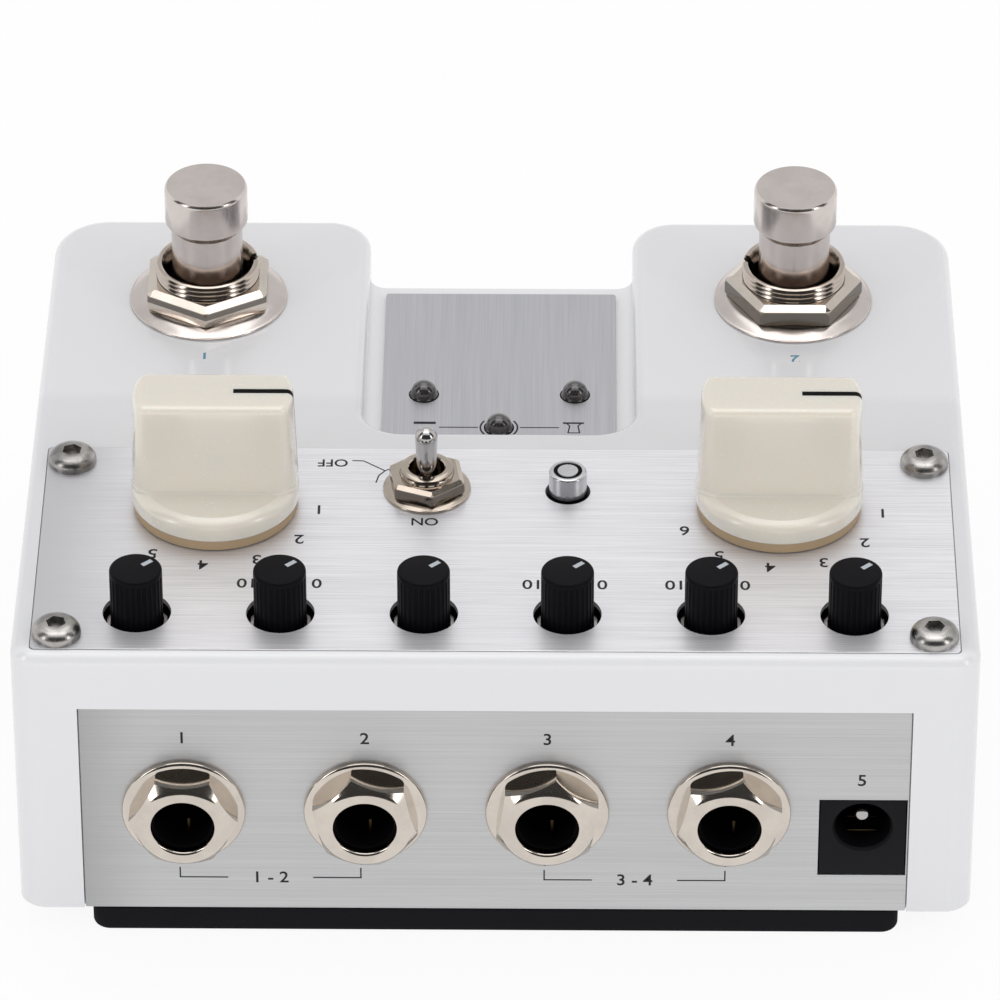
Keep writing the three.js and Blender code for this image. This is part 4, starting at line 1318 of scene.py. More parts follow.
@dataclass
class Marks:
    """All printed marks: plain numbers, ON and OFF, thin lines and small signs, at places in millimetres."""

    deck_type: float = 2.4
    switch_type: float = 2.0
    panel_type: float = 2.2
    line: float = 0.16
    dial_radius: float = 11.8
    dial_step: float = 30.0
    dials: tuple[tuple[str, float, int], ...] = (("left", -5.0, 5), ("right", -6.0, 6))
    ends: float = 3.9
    ends_forward: float = 5.6
    off_at: Pair = (-18.9, -5.28)
    on_at: Pair = (-8.23, -16.7)
    off_leader: tuple[Pair, ...] = ((-16.7, -4.88), (-15.4, -4.92), (-12.9, -6.85))
    throw: tuple[Pair, ...] = ((-12.1, -6.3), (-12.9, -6.85), (-13.6, -7.8), (-13.9, -9.2))
    bar: tuple[Pair, ...] = ((-9.88, 6.3), (-7.33, 6.3))
    bar_width: float = 0.45
    cup_lid: tuple[Pair, ...] = ((7.41, 6.36), (9.85, 6.36))
    lid_width: float = 0.3
    cup: tuple[Pair, ...] = ((7.9, 6.2), (8.2, 5.76), (8.0, 4.4), (9.35, 4.4), (9.15, 5.76), (9.45, 6.2))
    lamp_line: Triple = (2.43, 6.96, 5.43)
    lamp_arc: Triple = (5.4, 2.15, 38.0)
    arc_width: float = 0.208
    number_up: float = 10.0
    socket_at: Pair = (41.06, 21.9)
    brackets: tuple[tuple[int, str, float, float], ...] = ((1, "1 - 2", 0.62, 7.77), (3, "3 - 4", 0.33, 7.6))
    bracket: Pair = (5.4, 1.4)
    bracket_drop: float = 0.05
    footswitch_forward: float = 12.4
    deck_fall: float = 0.08

    def control(self) -> None:
        """The marks on the control plate, read from the footswitches."""
        deck = Print()
        for hand, first, count in self.dials:
            at = Place.of(f"selector_knob_{hand}").middle
            last = first - self.dial_step * (count - 1)
            for number, place in enumerate(arc(at.x, at.y, self.dial_radius, first, last, count - 1), 1):
                deck.text(str(number), *place, self.deck_type, 180)
        for index in (2, 4, 5):
            at = Place.of(f"small_knob_{index}").middle
            for side, words in ((1, "0"), (-1, "10")):
                deck.text(words, at.x + side * self.ends, at.y + self.ends_forward, self.deck_type, 180)
        deck.text("OFF", *self.off_at, self.switch_type, 180)
        deck.text("ON", *self.on_at, self.switch_type, 180)
        deck.line(self.off_leader, self.line)
        deck.line(self.throw, self.line)
        deck.form.move(z=Place.of("control_plate").high.z).piece("control_marks", INK)

    def channel(self) -> None:
        """The signs round the lamps."""
        sheet = Print()
        sheet.line(self.bar, self.bar_width)
        sheet.line(self.cup_lid, self.lid_width)
        sheet.line(self.cup, self.line)
        (start, end, y), (middle, radius, half) = self.lamp_line, self.lamp_arc
        for side, turn in ((-1, 180), (1, 0)):
            sheet.line([(side * start, y), (side * end, y)], self.line)
            sheet.line(arc(0, middle, radius, turn - half, turn + half, 16), self.arc_width)
        sheet.form.move(z=Place.of("channel_plate").high.z).piece("channel_marks", INK)

    def jack(self) -> None:
        """The numbers and brackets round the jacks, drawn lying and then stood up."""
        panel = Print()
        middles = {index: Place.of(f"jack_nut_{index}").middle for index in range(1, 5)}
        for index, at in middles.items():
            panel.text(str(index), at.x, at.z + self.number_up, self.panel_type)
        panel.text("5", *self.socket_at, self.panel_type)
        run, tall = self.bracket
        for first, words, aside, foot in self.brackets:
            left, right = (middles[index].x - aside for index in (first, first + 1))
            panel.text(words, (left + right) / 2, foot - self.bracket_drop, self.panel_type)
            for x, side in ((left, 1), (right, -1)):
                panel.line([(x, foot + tall), (x, foot), (x + side * run, foot)], self.line)
        panel.form.stand(0, Place.of("jack_plate").low.y, 0).piece("jack_marks", INK)

    def deck(self) -> None:
        """A number before each footswitch, in blue."""
        for number, hand in enumerate(("left", "right"), 1):
            at = Place.of(f"footswitch_nut_{hand}").middle
            place = Print()
            place.text(str(number), at.x, at.y - self.footswitch_forward, self.deck_type, 180)
            place.form.move(z=Place.of("housing").high.z - self.deck_fall)
            place.form.piece(f"footswitch_number_{number}", BLUE)

    def build(self) -> None:
        """Makes all marks."""
        self.control()
        self.channel()
        self.jack()
        self.deck()


@dataclass
class PlateScrews:
    """Four button-head screws with hexagon sockets."""

    head: float = 5.5
    height: float = 1.6
    edge: float = 0.3
    flat_share: float = 0.46
    socket: float = 2.0
    socket_depth: float = 0.7
    shank: float = 2.8
    turn: float = 17.0

    def build(self) -> None:
        """Makes the screws."""
        radius, flat, shank, top = self.head / 2, self.head / 2 * self.flat_share, self.shank / 2, self.height
        dome = arc(flat, self.edge, radius - flat, 0, 90, CORNER_STEPS, up=top - self.edge)
        for index in range(1, 5):
            node = f"plate_screw_{index}"
            place = Place.of(node)
            seat = place.high.z - top
            foot = place.low.z - seat
            profile = [(0, foot), (shank, foot), (shank, 0), (radius, 0), *dome, (0, top)]
            key = Form.prism(hexagon(self.socket, self.turn * index), top - self.socket_depth, top + OVERRUN)
            screw = Form.turned(profile, SMALL_STEPS).cut(key)
            screw.move(z=seat).over(node).piece(f"button_screw_{index}", STEEL, node, smooth=40)


@dataclass
class SmallKnobs:
    """Six finely ribbed knobs, each over a black well that shows the end of a bush and paints the shade down
    its hole.
    """

    diameter: float = 5.9
    ribs: int = 28
    rib: tuple[Pair, ...] = ((-0.3, 0.0), (-0.14, 0.0), (0.14, 0.0), (0.34, 0.12), (0.56, 0.12))
    rib_sink: float = 0.06
    cap: float = 0.62
    chamfer: float = 0.3
    pointer_width: float = 0.62
    pointer_start: float = 0.95
    pointer_end: float = 2.35
    pointer_depth: float = 0.1
    pointer_drop: float = 0.03
    turn: float = 42.0
    shaft: float = 5.6
    shaft_sink: float = 0.05
    foot: float = 37.8
    well_outer: float = 8.08
    well_inner: float = 7.64
    well_drop: float = 1.45
    seal_top: float = 37.2
    seal_inner: float = 7.04

    def star(self) -> list[Pair]:
        """The ribbed outline.

        Returns:
            Its points, counter-clockwise.
        """
        radius, share = self.diameter / 2, math.tau / self.ribs
        return [
            ((radius - cut) * math.cos((k + at) * share), (radius - cut) * math.sin((k + at) * share))
            for k in range(self.ribs)
            for at, cut in self.rib
        ]

    def knob(self, low: float, top: float) -> tuple[Form, Form]:
        """One knob on the Z axis.

        Args:
            low: height of its shaft's foot.
            top: height of its top.

        Returns:
            The knob and its pale pointer.
        """
        radius, half, deep = self.diameter / 2, self.pointer_width / 2, top - self.pointer_depth
        cap_foot, start, end = top - self.cap, self.pointer_start, self.pointer_end
        rim = soft(radius, top, self.chamfer, 4)
        cap = Form.turned([(0, cap_foot), (radius, cap_foot), *rim, (0, top)], SMALL_STEPS)
        cap.cut(Form.block((start, -half, deep), (end, half, top + OVERRUN)))
        pale = Form.block((start, -half, deep - HAIR), (end, half, top - self.pointer_drop))
        grip = Form.loft([(self.foot, self.star()), (cap_foot + self.rib_sink, self.star())])
        stem = Form.rod(self.shaft / 2, low, self.foot + self.shaft_sink)
        return cap.join(grip, stem).rotate(self.turn), pale.rotate(self.turn)

    def build(self) -> None:
        """Makes the knobs and their wells."""
        inner, wall, outer = self.seal_inner / 2, self.well_inner / 2, self.well_outer / 2
        plate = Place.of("control_plate").low.z - HAIR
        for index in range(1, 7):
            node = f"small_knob_{index}"
            place = Place.of(node)
            knob, pale = self.knob(place.low.z, place.high.z)
            knob.over(node).piece(f"ribbed_knob_{index}", KNOB, node, body=node)
            pale.over(node).piece(f"knob_pointer_{index}", CHALK, body=node)
            # the black well lines the hole in the deck and paints the shade down it
            roof = Place.of(f"potentiometer_{index}").high.z - self.well_drop
            profile = [
                (inner, roof), (inner, self.seal_top), (wall, self.seal_top), (wall, plate), (outer, plate),
                (outer, roof), (inner, roof),
            ]
            Form.turned(profile, SMALL_STEPS).over(node).piece(f"knob_shade_well_{index}", PIT)


@dataclass
class BarKnob:
    """A cream knob: a round skirt with a bar across it, soft at its ends, and a black pointer line."""

    hand: str
    thickness: float = 7.4
    top_length: float = 18.1
    foot_length: float = 18.9
    top_edge: float = 0.75
    corner_top: float = 1.15
    corner_foot: float = 2.7
    corner_least: float = 0.15
    corner_power: float = 2.2
    corner_share: float = 0.6
    end_steps: int = 20
    fillet: float = 0.3
    sink: float = 0.2
    skirt: float = 19.1
    skirt_height: float = 1.5
    shelf: float = 16.9
    shelf_drop: float = 11.6
    shoulder: float = 50.0
    crease: float = 0.16
    crease_curve: tuple[Pair, ...] = ((0.5, 0.42), (0.1, 0.12), (-0.5, 0.0), (-1.5, 0.0))
    foot_edge: float = 0.25
    hollow: float = 1.8
    wall: float = 1.4
    hub: float = 9.4
    bore: float = 6.1
    bore_depth: float = 7.5
    # the dark ring under the skirt, a painted shadow
    shadow_ring_inset: float = 0.12
    shadow_ring_thick: float = 1.1
    shadow_ring_foot: float = 39.0
    shadow_ring_curve: tuple[Pair, ...] = ((-0.25, 0.0), (-0.1, 0.15))
    line_width: float = 0.86
    line_start: float = 2.3
    line_foot: float = 3.0
    line_depth: float = 0.3
    line_inset: float = 0.05
    line_gap: float = 0.03

    def outline(self, half: float, radius: float, corner: float) -> list[Pair]:
        """A bar's outline with turned ends.

        Args:
            half: half of its thickness.
            radius: radius of the ends, round the knob's axis.
            corner: radius between the ends and the flanks.

        Returns:
            Its points, counter-clockwise.
        """
        centre = math.sqrt(max((radius - corner) ** 2 - (half - corner) ** 2, MERGE))
        swing = math.degrees(math.atan2(half - corner, centre))
        end = arc(0, 0, radius, -swing, swing, self.end_steps)[:-1]
        bend = arc(centre, half - corner, corner, swing, 90, 8)
        right = [*((x, -y) for x, y in bend[:0:-1]), *end, *bend]
        return [*right, *((-x, -y) for x, y in right)]

    def bar(self, low: float, top: float, inset: float = 0.0) -> Form:
        """The bar from inside the skirt to its top.

        Args:
            low: height of its foot.
            top: height of its top.
            inset: how far all sides are moved in.

        Returns:
            The closed form.
        """
        tall, fillet, levels = self.shelf_drop, self.fillet, []
        shelf = top - tall
        stations = [(low, fillet), (shelf - self.sink, fillet)]
        stations += [(shelf + up, out) for out, up in arc(fillet, fillet, fillet, -90, -180, 6)]
        stations += [(shelf + fillet + (tall - fillet - self.top_edge) * k / 8, 0.0) for k in range(1, 9)]
        for height, out in stations:
            share = min(1.0, max(0.0, (top - height) / tall))
            radius = (self.top_length + (self.foot_length - self.top_length) * share) / 2 - inset
            widening = (self.corner_foot - self.corner_top) * share**self.corner_power
            corner = self.corner_top + widening - inset
            half = self.thickness / 2 + out - inset
            levels.append((height, self.outline(half, radius, max(corner, self.corner_least))))
        for x, y in soft(0, 0, self.top_edge, 5)[1:]:
            half, radius = self.thickness / 2 + x - inset, self.top_length / 2 + x - inset
            corner = max(self.corner_top + x * self.corner_share - inset, self.corner_least)
            levels.append((top + y - inset, self.outline(half, radius, corner)))
        return Form.loft(levels)

    def base(self, low: float, shelf: float) -> Form:
        """The skirt, hollow underneath round its hub.

        Args:
            low: height of its foot.
            shelf: height of its top.

        Returns:
            The closed form.
        """
        rim, top, hub, turn = self.skirt / 2, self.shelf / 2, self.hub / 2, math.radians(self.shoulder)
        spread = (rim - top) / (1 - math.cos(turn))
        rise = (shelf - low - self.skirt_height) / math.sin(turn)
        shoulder = arc(rim - spread, low + self.skirt_height, spread, 0, self.shoulder, 8, up=rise)[:-1]
        ceiling, inner, edge, crease = low + self.hollow, rim - self.wall, self.foot_edge, self.crease
        foot = arc(rim - edge, low + edge, edge, -90, 0, 4)
        profile = [
            (0, low), (hub, low), (hub, ceiling), (inner, ceiling), (inner, low), *foot, *shoulder,
            *((top + crease * out, shelf - crease * deep) for out, deep in self.crease_curve), (0, shelf),
        ]
        return Form.turned(profile)

    def build(self) -> None:
        """Makes the knob, its pointer line and a dark ring under it, a painted shadow of the knob."""
        node, body = f"selector_knob_{self.hand}", f"selector_{self.hand}"
        place = Place.of(node)
        low, top, half, deep = place.low.z, place.high.z, self.line_width / 2, self.line_depth
        bar = self.bar(low + self.hollow + CLEARANCE, top)
        knob = self.base(low, top - self.shelf_drop).boolean(bar, Cut.BOTH)
        slot = Form.block((self.line_start, -half, low + self.line_foot), (self.skirt, half, top + OVERRUN))
        line = slot.copy().boolean(self.bar(low, top, self.line_inset), Cut.SHARED)
        line.cut(self.bar(low - 1, top, deep + self.line_gap))
        bore = Form.rod(self.bore / 2, low - OVERRUN, low + self.bore_depth)
        knob.cut(slot.cut(self.bar(low - 1, top, deep)), bore)
        knob.over(node).piece(f"bar_knob_{self.hand}", CREAM, node, body=body, smooth=38)
        line.over(node).piece(f"bar_pointer_{self.hand}", POINTER, body=body)
        # a dark ring that fills the gap under the skirt: a painted shadow of the knob
        outer, head, foot = self.skirt / 2 - self.shadow_ring_inset, low + self.sink, self.shadow_ring_foot
        inner, edge = outer - self.shadow_ring_thick, [(outer + out, foot + up) for out, up in self.shadow_ring_curve]
        profile = [(inner, foot), *edge, (outer, head), (inner, head), (inner, foot)]
        Form.turned(profile).over(node).piece(f"bar_shadow_ring_{self.hand}", PAINTED_KNOB_SHADOW, body=body)


def make_washer(node: str, hole: float, edge: float, flat: float, fall: float) -> Form:
    """A washer that falls off towards its rim.

    Args:
        node: the node that gives its place and its size.
        hole: radius of its hole.
        edge: width of its soft rim.
        flat: radius to which its top is level.
        fall: how much lower its rim is.

    Returns:
        The washer in its place.
    """
    place = Place.of(node)
    low, high, outer = place.low.z, place.high.z, (place.high.x - place.low.x) / 2
    run = outer - edge - flat
    slope = [(flat + run * k / 8, high - fall * (k / 8) ** 1.5) for k in range(7, -1, -1)]
    profile = [
        (hole, low), (outer - edge, low), (outer, low + edge / 2), *soft(outer, high - fall, edge, 5), *slope,
        (hole + edge / 2, high), (hole, high - edge / 2), (hole, low),
    ]
    return Form.turned(profile).over(node)


def make_nut(node: str, flats: float, hole: float, slope: float, fall: float, turn: float) -> Form:
    """A hexagon nut whose top falls off towards its flats and whose corners are turned.

    Args:
        node: the node that gives its place and its heights.
        flats: its width across flats.
        hole: radius of its hole.
        slope: width of the sloping stretch.
        fall: how far that stretch falls.
        turn: turn about Z in degrees, from a corner towards -Y.

    Returns:
        The nut in its place.
    """
    place = Place.of(node)
    low, high, corner = place.low.z, place.high.z, flats / math.sqrt(3)
    (inset, rise), (cut, up), blunt = NUT_FOOT, NUT_CORNER, corner * NUT_BLUNT
    sizes = ((flats - inset, low), (flats, low + rise), (flats, high - fall), (flats - 2 * slope, high))
    profile = [
        (0, low - PAST), (corner - cut, low - PAST), (corner, low + up), (corner, high - fall - NUT_TURNED),
        (blunt, high - fall), (blunt - slope, high + PAST), (0, high + PAST),
    ]
    nut = Form.loft([(height, hexagon(size, turn)) for size, height in sizes])
    nut.boolean(Form.turned(profile), Cut.SHARED)
    return nut.cut(Form.rod(hole, low - OVERRUN, high + OVERRUN, FINE_STEPS)).over(node)


@dataclass
class Toggle:
    """A toggle switch: threaded bush, washer, hexagon nut and leaning bat."""

    bush: float = 6.2
    mouth: float = 4.1
    mouth_edge: float = 0.12
    pitch: float = 0.6
    thread: float = 0.14
    thread_drop: float = 1.1
    edge: float = 0.4
    edge_curve: Pair = (0.3, 0.35)
    floor: float = 37.6
    roof_drop: float = 1.5
    washer_edge: float = 0.14
    washer_fall: float = 0.25
    nut_flats: float = 8.0
    nut_turn: float = 8.8
    nut_slope: float = 0.5
    nut_fall: float = 0.35
    ball: float = 2.5
    ball_turn: float = 30.0
    neck: float = 2.2
    neck_foot: float = 0.75
    neck_top: float = 2.0
    lever: float = 2.55
    reach: float = 9.6
    lean: float = 12.0
    pivot: float = 39.2

    def body(self) -> None:
        """The switch's box under the roof and its threaded bush."""
        place = Place.of("toggle_body")
        radius, mouth, top, edge = self.bush / 2, self.mouth / 2, place.high.z, self.edge
        roof = Place.of("potentiometer_1").high.z - self.roof_drop
        thread = threaded(radius, roof, top - edge * self.thread_drop, self.pitch, self.thread)
        slope, (across, down) = self.mouth_edge, self.edge_curve
        profile = [
            (0, self.floor), (mouth, self.floor), (mouth, top - slope), (mouth + slope, top),
            (radius - edge, top), (radius - edge * across, top - edge * down), *reversed(thread), (0, roof),
        ]
        box = Form.block(place.low, (place.high.x, place.high.y, roof)).soften(CLEARANCE)
        bush = Form.turned(profile, FINE_STEPS).over("toggle_body")
        bush.join(box).piece("toggle_switch", SMALL_NICKEL, "toggle_body", smooth=28)

    def fasteners(self) -> None:
        """The washer and the nut."""
        radius, flats = self.bush / 2, self.nut_flats
        hole = radius + WASHER_GAP
        washer = make_washer("toggle_washer", hole, self.washer_edge, flats / 2, self.washer_fall)
        washer.piece("toggle_ring", SMALL_NICKEL, "toggle_washer")
        nut = make_nut("toggle_nut", flats, radius + HAIR, self.nut_slope, self.nut_fall, self.nut_turn)
        nut.piece("toggle_hexagon", SMALL_NUT, "toggle_nut", smooth=15)

    def bat(self) -> None:
        """The lever with its pivot ball."""
        ball, neck, tip = self.ball / 2, self.neck / 2, self.lever / 2
        dome = arc(0, self.reach - tip, tip, 0, 90, 10)
        foot = arc(0, 0, ball, -90, self.ball_turn, 12)
        profile = [*foot, (neck, ball * self.neck_foot), (neck, self.neck_top), *dome]
        lever = Form.turned(profile, SMALL_STEPS).rotate(self.lean, "X")
        lever.move(z=self.pivot).over("toggle_body")
        lever.piece("toggle_bat", CHROME, "toggle_lever", body="toggle", smooth=40)

    def build(self) -> None:
        """Makes the switch."""
        self.body()
        self.fasteners()
        self.bat()


@dataclass
class PushButton:
    """A satin silver button with a turned ring in its face and a dark sleeve round its foot, a painted shade
    in its hole.
    """

    diameter: float = 4.3
    edge: float = 0.3
    groove_outer: float = 3.2
    groove_inner: float = 2.4
    groove_depth: float = 0.15
    groove_slope: float = 0.04
    groove_floor: float = 0.03
    flange: float = 6.2
    flange_top: float = 35.7
    flange_thick: float = 0.8
    stem: float = 3.0
    # the sleeve: painted shade round the button's foot, inside its hole
    shade_sleeve_top: float = 38.78
    shade_sleeve_thick: float = 0.05
    shade_sleeve_gap: float = 0.01

    def build(self) -> None:
        """Makes the button, the floor of its ring and the sleeve of painted shade."""
        place = Place.of("push_button")
        top, low, head = place.high.z, place.low.z, self.flange_top
        radius, stem, flange, slope = self.diameter / 2, self.stem / 2, self.flange / 2, self.groove_slope
        outer, inner, deep = self.groove_outer / 2, self.groove_inner / 2, top - self.groove_depth
        under = head - self.flange_thick
        profile = [
            (0, low), (stem, low), (stem, under), (flange, under), (flange, head), (radius, head),
            *soft(radius, top, self.edge, 5), (outer + slope, top), (outer, deep), (inner, deep),
            (inner - slope, top), (0, top),
        ]
        button = Form.turned(profile, FINE_STEPS).over("push_button")
        button.piece("tap_button", SILVER, "push_button", body="button", smooth=30)
        ring = Form.tube(inner, outer, deep, deep + self.groove_floor)
        # painted shade round the button's foot
        shade_sleeve = Form.tube(radius, radius + self.shade_sleeve_thick, head + self.shade_sleeve_gap, self.shade_sleeve_top)
        for name, form in (("tap_ring", ring), ("tap_shade_sleeve", shade_sleeve)):
            form.over("push_button").piece(name, PIT, body="button")


@dataclass
class Lamps:
    """Three smoked lamps, each a dome with a low collar and two legs."""

    diameter: float = 3.0
    collar: float = 3.2
    collar_top: float = 36.55
    collar_edge: float = 0.1
    collar_gap: float = 0.01
    flange: float = 3.8
    flange_top: float = 33.6
    flange_thick: float = 1.0
    leg: float = 0.5
    leg_pitch: float = 1.4
    rise: float = 0.25

    def build(self) -> None:
        """Makes the lamps."""
        radius, collar, flange, half = self.diameter / 2, self.collar / 2, self.flange / 2, self.leg / 2
        head, rim, edge = self.flange_top, self.collar_top, self.collar_edge
        under, plate = head - self.flange_thick, Place.of("channel_plate").high.z + self.collar_gap
        for index in range(1, 4):
            node = f"lamp_{index}"
            place = Place.of(node)
            straight = place.high.z + self.rise - radius
            dome = arc(0, straight, radius, 0, 90, 12)
            profile = [
                (0, under), (flange, under), (flange, head), (radius, head), (radius, plate), (collar, plate),
                (collar, rim - edge), (collar - edge, rim), (radius, rim), *dome[0 if straight > rim else 2:],
            ]
            lens = Form.turned(profile, SMALL_STEPS)
            for x in (side * self.leg_pitch / 2 for side in SIDES):
                lens.join(Form.block((x - half, -half, place.low.z), (x + half, half, under + CLEARANCE)))
            lens.over(node).piece(f"smoked_lamp_{index}", SMOKED, node, smooth=40)


@dataclass
class Footswitch:
    """A footswitch: case and threaded bush with a key slot, washer, nut, and a plunger with its cap."""

    hand: str
    nut_turn: float
    slot_turn: float
    bush: float = 12.1
    pitch: float = 0.62
    thread: float = 0.2
    rim: float = 0.3
    rim_share: float = 1.6
    rim_edge: Pair = (0.1, 0.12)
    thread_drop: float = 0.24
    mouth: float = 9.5
    mouth_slope: float = 1.3
    mouth_curve: tuple[Pair, ...] = ((-0.15, 0.12), (0.0, 0.03), (0.1, 0.0))
    roof: float = 36.0
    well: float = 4.0
    slot_width: float = 1.3
    slot_depth: float = 1.2
    case_edge: float = 0.5
    washer_edge: float = 0.15
    washer_flat: float = 7.4
    washer_fall: float = 0.6
    nut_flats: float = 14.0
    nut_slope: float = 0.85
    nut_fall: float = 0.5
    stem: float = 8.3
    cap: float = 9.7
    cap_height: float = 4.7
    cap_edge: float = 0.75
    cap_turn: float = 50.0
    neck: float = 0.95
    neck_sink: float = 0.2

    def switch(self) -> None:
        """The case and its bush."""
        node = f"footswitch_body_{self.hand}"
        place = Place.of(node)
        radius, mouth, top, rim, roof = self.bush / 2, self.mouth / 2, place.high.z, self.rim, self.roof
        floor, wide, (across, down) = roof - self.well, radius - rim * self.rim_share, self.rim_edge
        thread = threaded(radius, roof, top - self.thread_drop, self.pitch, self.thread)
        profile = [
            (0, floor), (mouth, floor), (mouth, top - self.mouth_slope),
            *((wide + out, top - deep) for out, deep in self.mouth_curve), (radius - rim, top),
            (radius - across, top - down), *reversed(thread), (0, roof),
        ]
        half = self.slot_width / 2
        slot = Form.block((radius - self.slot_depth, -half, roof + 2), (radius + 1, half, top + 1))
        bush = Form.turned(profile).cut(slot.rotate(self.slot_turn))
        case = Form.block(place.low, (place.high.x, place.high.y, roof)).soften(self.case_edge)
        bush.over(node).join(case.cut(Form.rod(mouth, floor, roof + 1).over(node)))
        bush.piece(f"stomp_bush_{self.hand}", BUSH, node, smooth=28)

    def fasteners(self) -> None:
        """The washer and the nut."""
        hand, radius = self.hand, self.bush / 2
        node = f"footswitch_washer_{hand}"
        washer = make_washer(node, radius + WASHER_GAP, self.washer_edge, self.washer_flat, self.washer_fall)
        washer.piece(f"stomp_washer_{hand}", SATIN, node)
        node = f"footswitch_nut_{hand}"
        nut = make_nut(node, self.nut_flats, radius + HAIR, self.nut_slope, self.nut_fall, self.nut_turn)
        nut.piece(f"stomp_nut_{hand}", NUTS[hand], node, smooth=15)

    def plunger(self) -> None:
        """The stem and the cap, which move together."""
        node = f"footswitch_plunger_{self.hand}"
        place = Place.of(node)
        low, top, stem, cap, edge = place.low.z, place.high.z, self.stem / 2, self.cap / 2, self.cap_edge
        bottom, tall = top - self.cap_height - self.neck, self.neck + self.neck_sink
        rim = arc(cap - edge, top - edge * math.sin(math.radians(self.cap_turn)), edge, 0, self.cap_turn, 8)
        waves = [(1 - math.cos(math.pi * k / 8)) / 2 for k in range(9)]
        shoulder = [(stem + (cap - stem) * wave, bottom + tall * k / 8) for k, wave in enumerate(waves)]
        form = Form.turned([(0, low), (stem, low), *shoulder, *rim, (0, top)]).over(node)
        form.piece(f"stomp_cap_{self.hand}", SATIN, node, body=f"footswitch_{self.hand}", smooth=25)

    def build(self) -> None:
        """Makes the footswitch."""
        self.switch()
        self.fasteners()
        self.plunger()


@dataclass
class Jack:
    """A jack: moulded body, threaded bush and a domed dress nut on a round collar."""

    index: int
    turn: float
    flats: float = 10.6
    reach: float = 3.5
    mouth: float = 6.9
    mouth_length: float = 0.9
    face: float = 8.4
    dome: float = 1.4
    chamfer: float = 45.0
    lip: float = 0.5
    collar: float = 13.9
    collar_thick: float = 0.8
    collar_edge: Pair = (0.75, 0.45)
    bush: float = 8.9
    bore: float = 6.5
    panel: float = -42.6
    plate: float = 0.2
    wall: float = 2.4
    body_edge: float = 0.4
    bore_end: float = 1.2
    bore_front: float = 10.0
    contact_depth: float = 3.2
    contact: tuple[Triple, Triple] = ((0.35, 0.0, -3.2), (0.75, 0.5, -0.9))
    contact_edge: float = 0.12

    def nut(self) -> None:
        """The dress nut with its collar, made lying and then stood up."""
        node = f"jack_nut_{self.index}"
        middle, front, back = Place.of(node).middle, self.reach, -self.plate
        corner = self.flats / math.sqrt(3) + HAIR
        dome = arc(self.face / 2, front - self.dome, self.dome, 90 - self.chamfer, 90, 12)
        fall = dome[0][1] - (corner - dome[0][0]) * math.tan(math.radians(self.chamfer))
        cap = Form.turned([(0, back), (corner, back), (corner, fall), *dome, (0, front)])
        nut = Form.prism(hexagon(self.flats, self.turn), back, front + PAST).boolean(cap, Cut.SHARED)
        outer, thick, (across, up) = self.collar / 2, back + self.collar_thick, self.collar_edge
        slope = arc(outer - across, thick - up, across, 0, 90, 8, up=up)
        nut.boolean(Form.turned([(0, back), (outer, back), *slope, (0, thick)]), Cut.BOTH)
        nut.cut(Form.rod(self.bush / 2 + CLEARANCE, back - OVERRUN, front - self.mouth_length))
        inner, wide = self.mouth / 2, self.mouth / 2 + self.lip
        lip = arc(wide, front - self.lip, self.lip, 180, 90, 6)
        nut.cut(Form.turned([(0, back - 1), (inner, back - 1), *lip, (wide, front + 1), (0, front + 1)]))
        nut.stand(middle.x, self.panel, middle.z).piece(f"dress_nut_{self.index}", NICKEL, node, smooth=24)

    def socket(self) -> None:
        """The moulded body, the bush and a glimpse of the contact."""
        node = f"jack_socket_{self.index}"
        place = Place.of(node)
        low, high, x, z = place.low, place.high, place.middle.x, place.middle.z
        end = self.reach - self.mouth_length - CLEARANCE
        wall = self.panel + self.wall
        body = Form.block((low.x, wall, low.z), high).soften(self.body_edge)
        tube = Form.rod(self.bush / 2, -wall - OVERRUN, end - self.panel, FINE_STEPS).stand(x, 0, z)
        bore = Form.rod(self.bore / 2, self.bore_end - high.y, self.bore_front - self.panel, FINE_STEPS)
        bore.stand(x, 0, z)
        body.boolean(tube, Cut.BOTH).cut(bore).piece(f"jack_shell_{self.index}", PIT, node, smooth=28)
        at = Vector((x, self.panel - self.reach + self.contact_depth, z))
        spring = Form.block(*(at + Vector(corner) for corner in self.contact)).soften(self.contact_edge)
        spring.piece(f"jack_contact_{self.index}", BROWN)

    def build(self) -> None:
        """Makes the jack."""
        self.nut()
        self.socket()


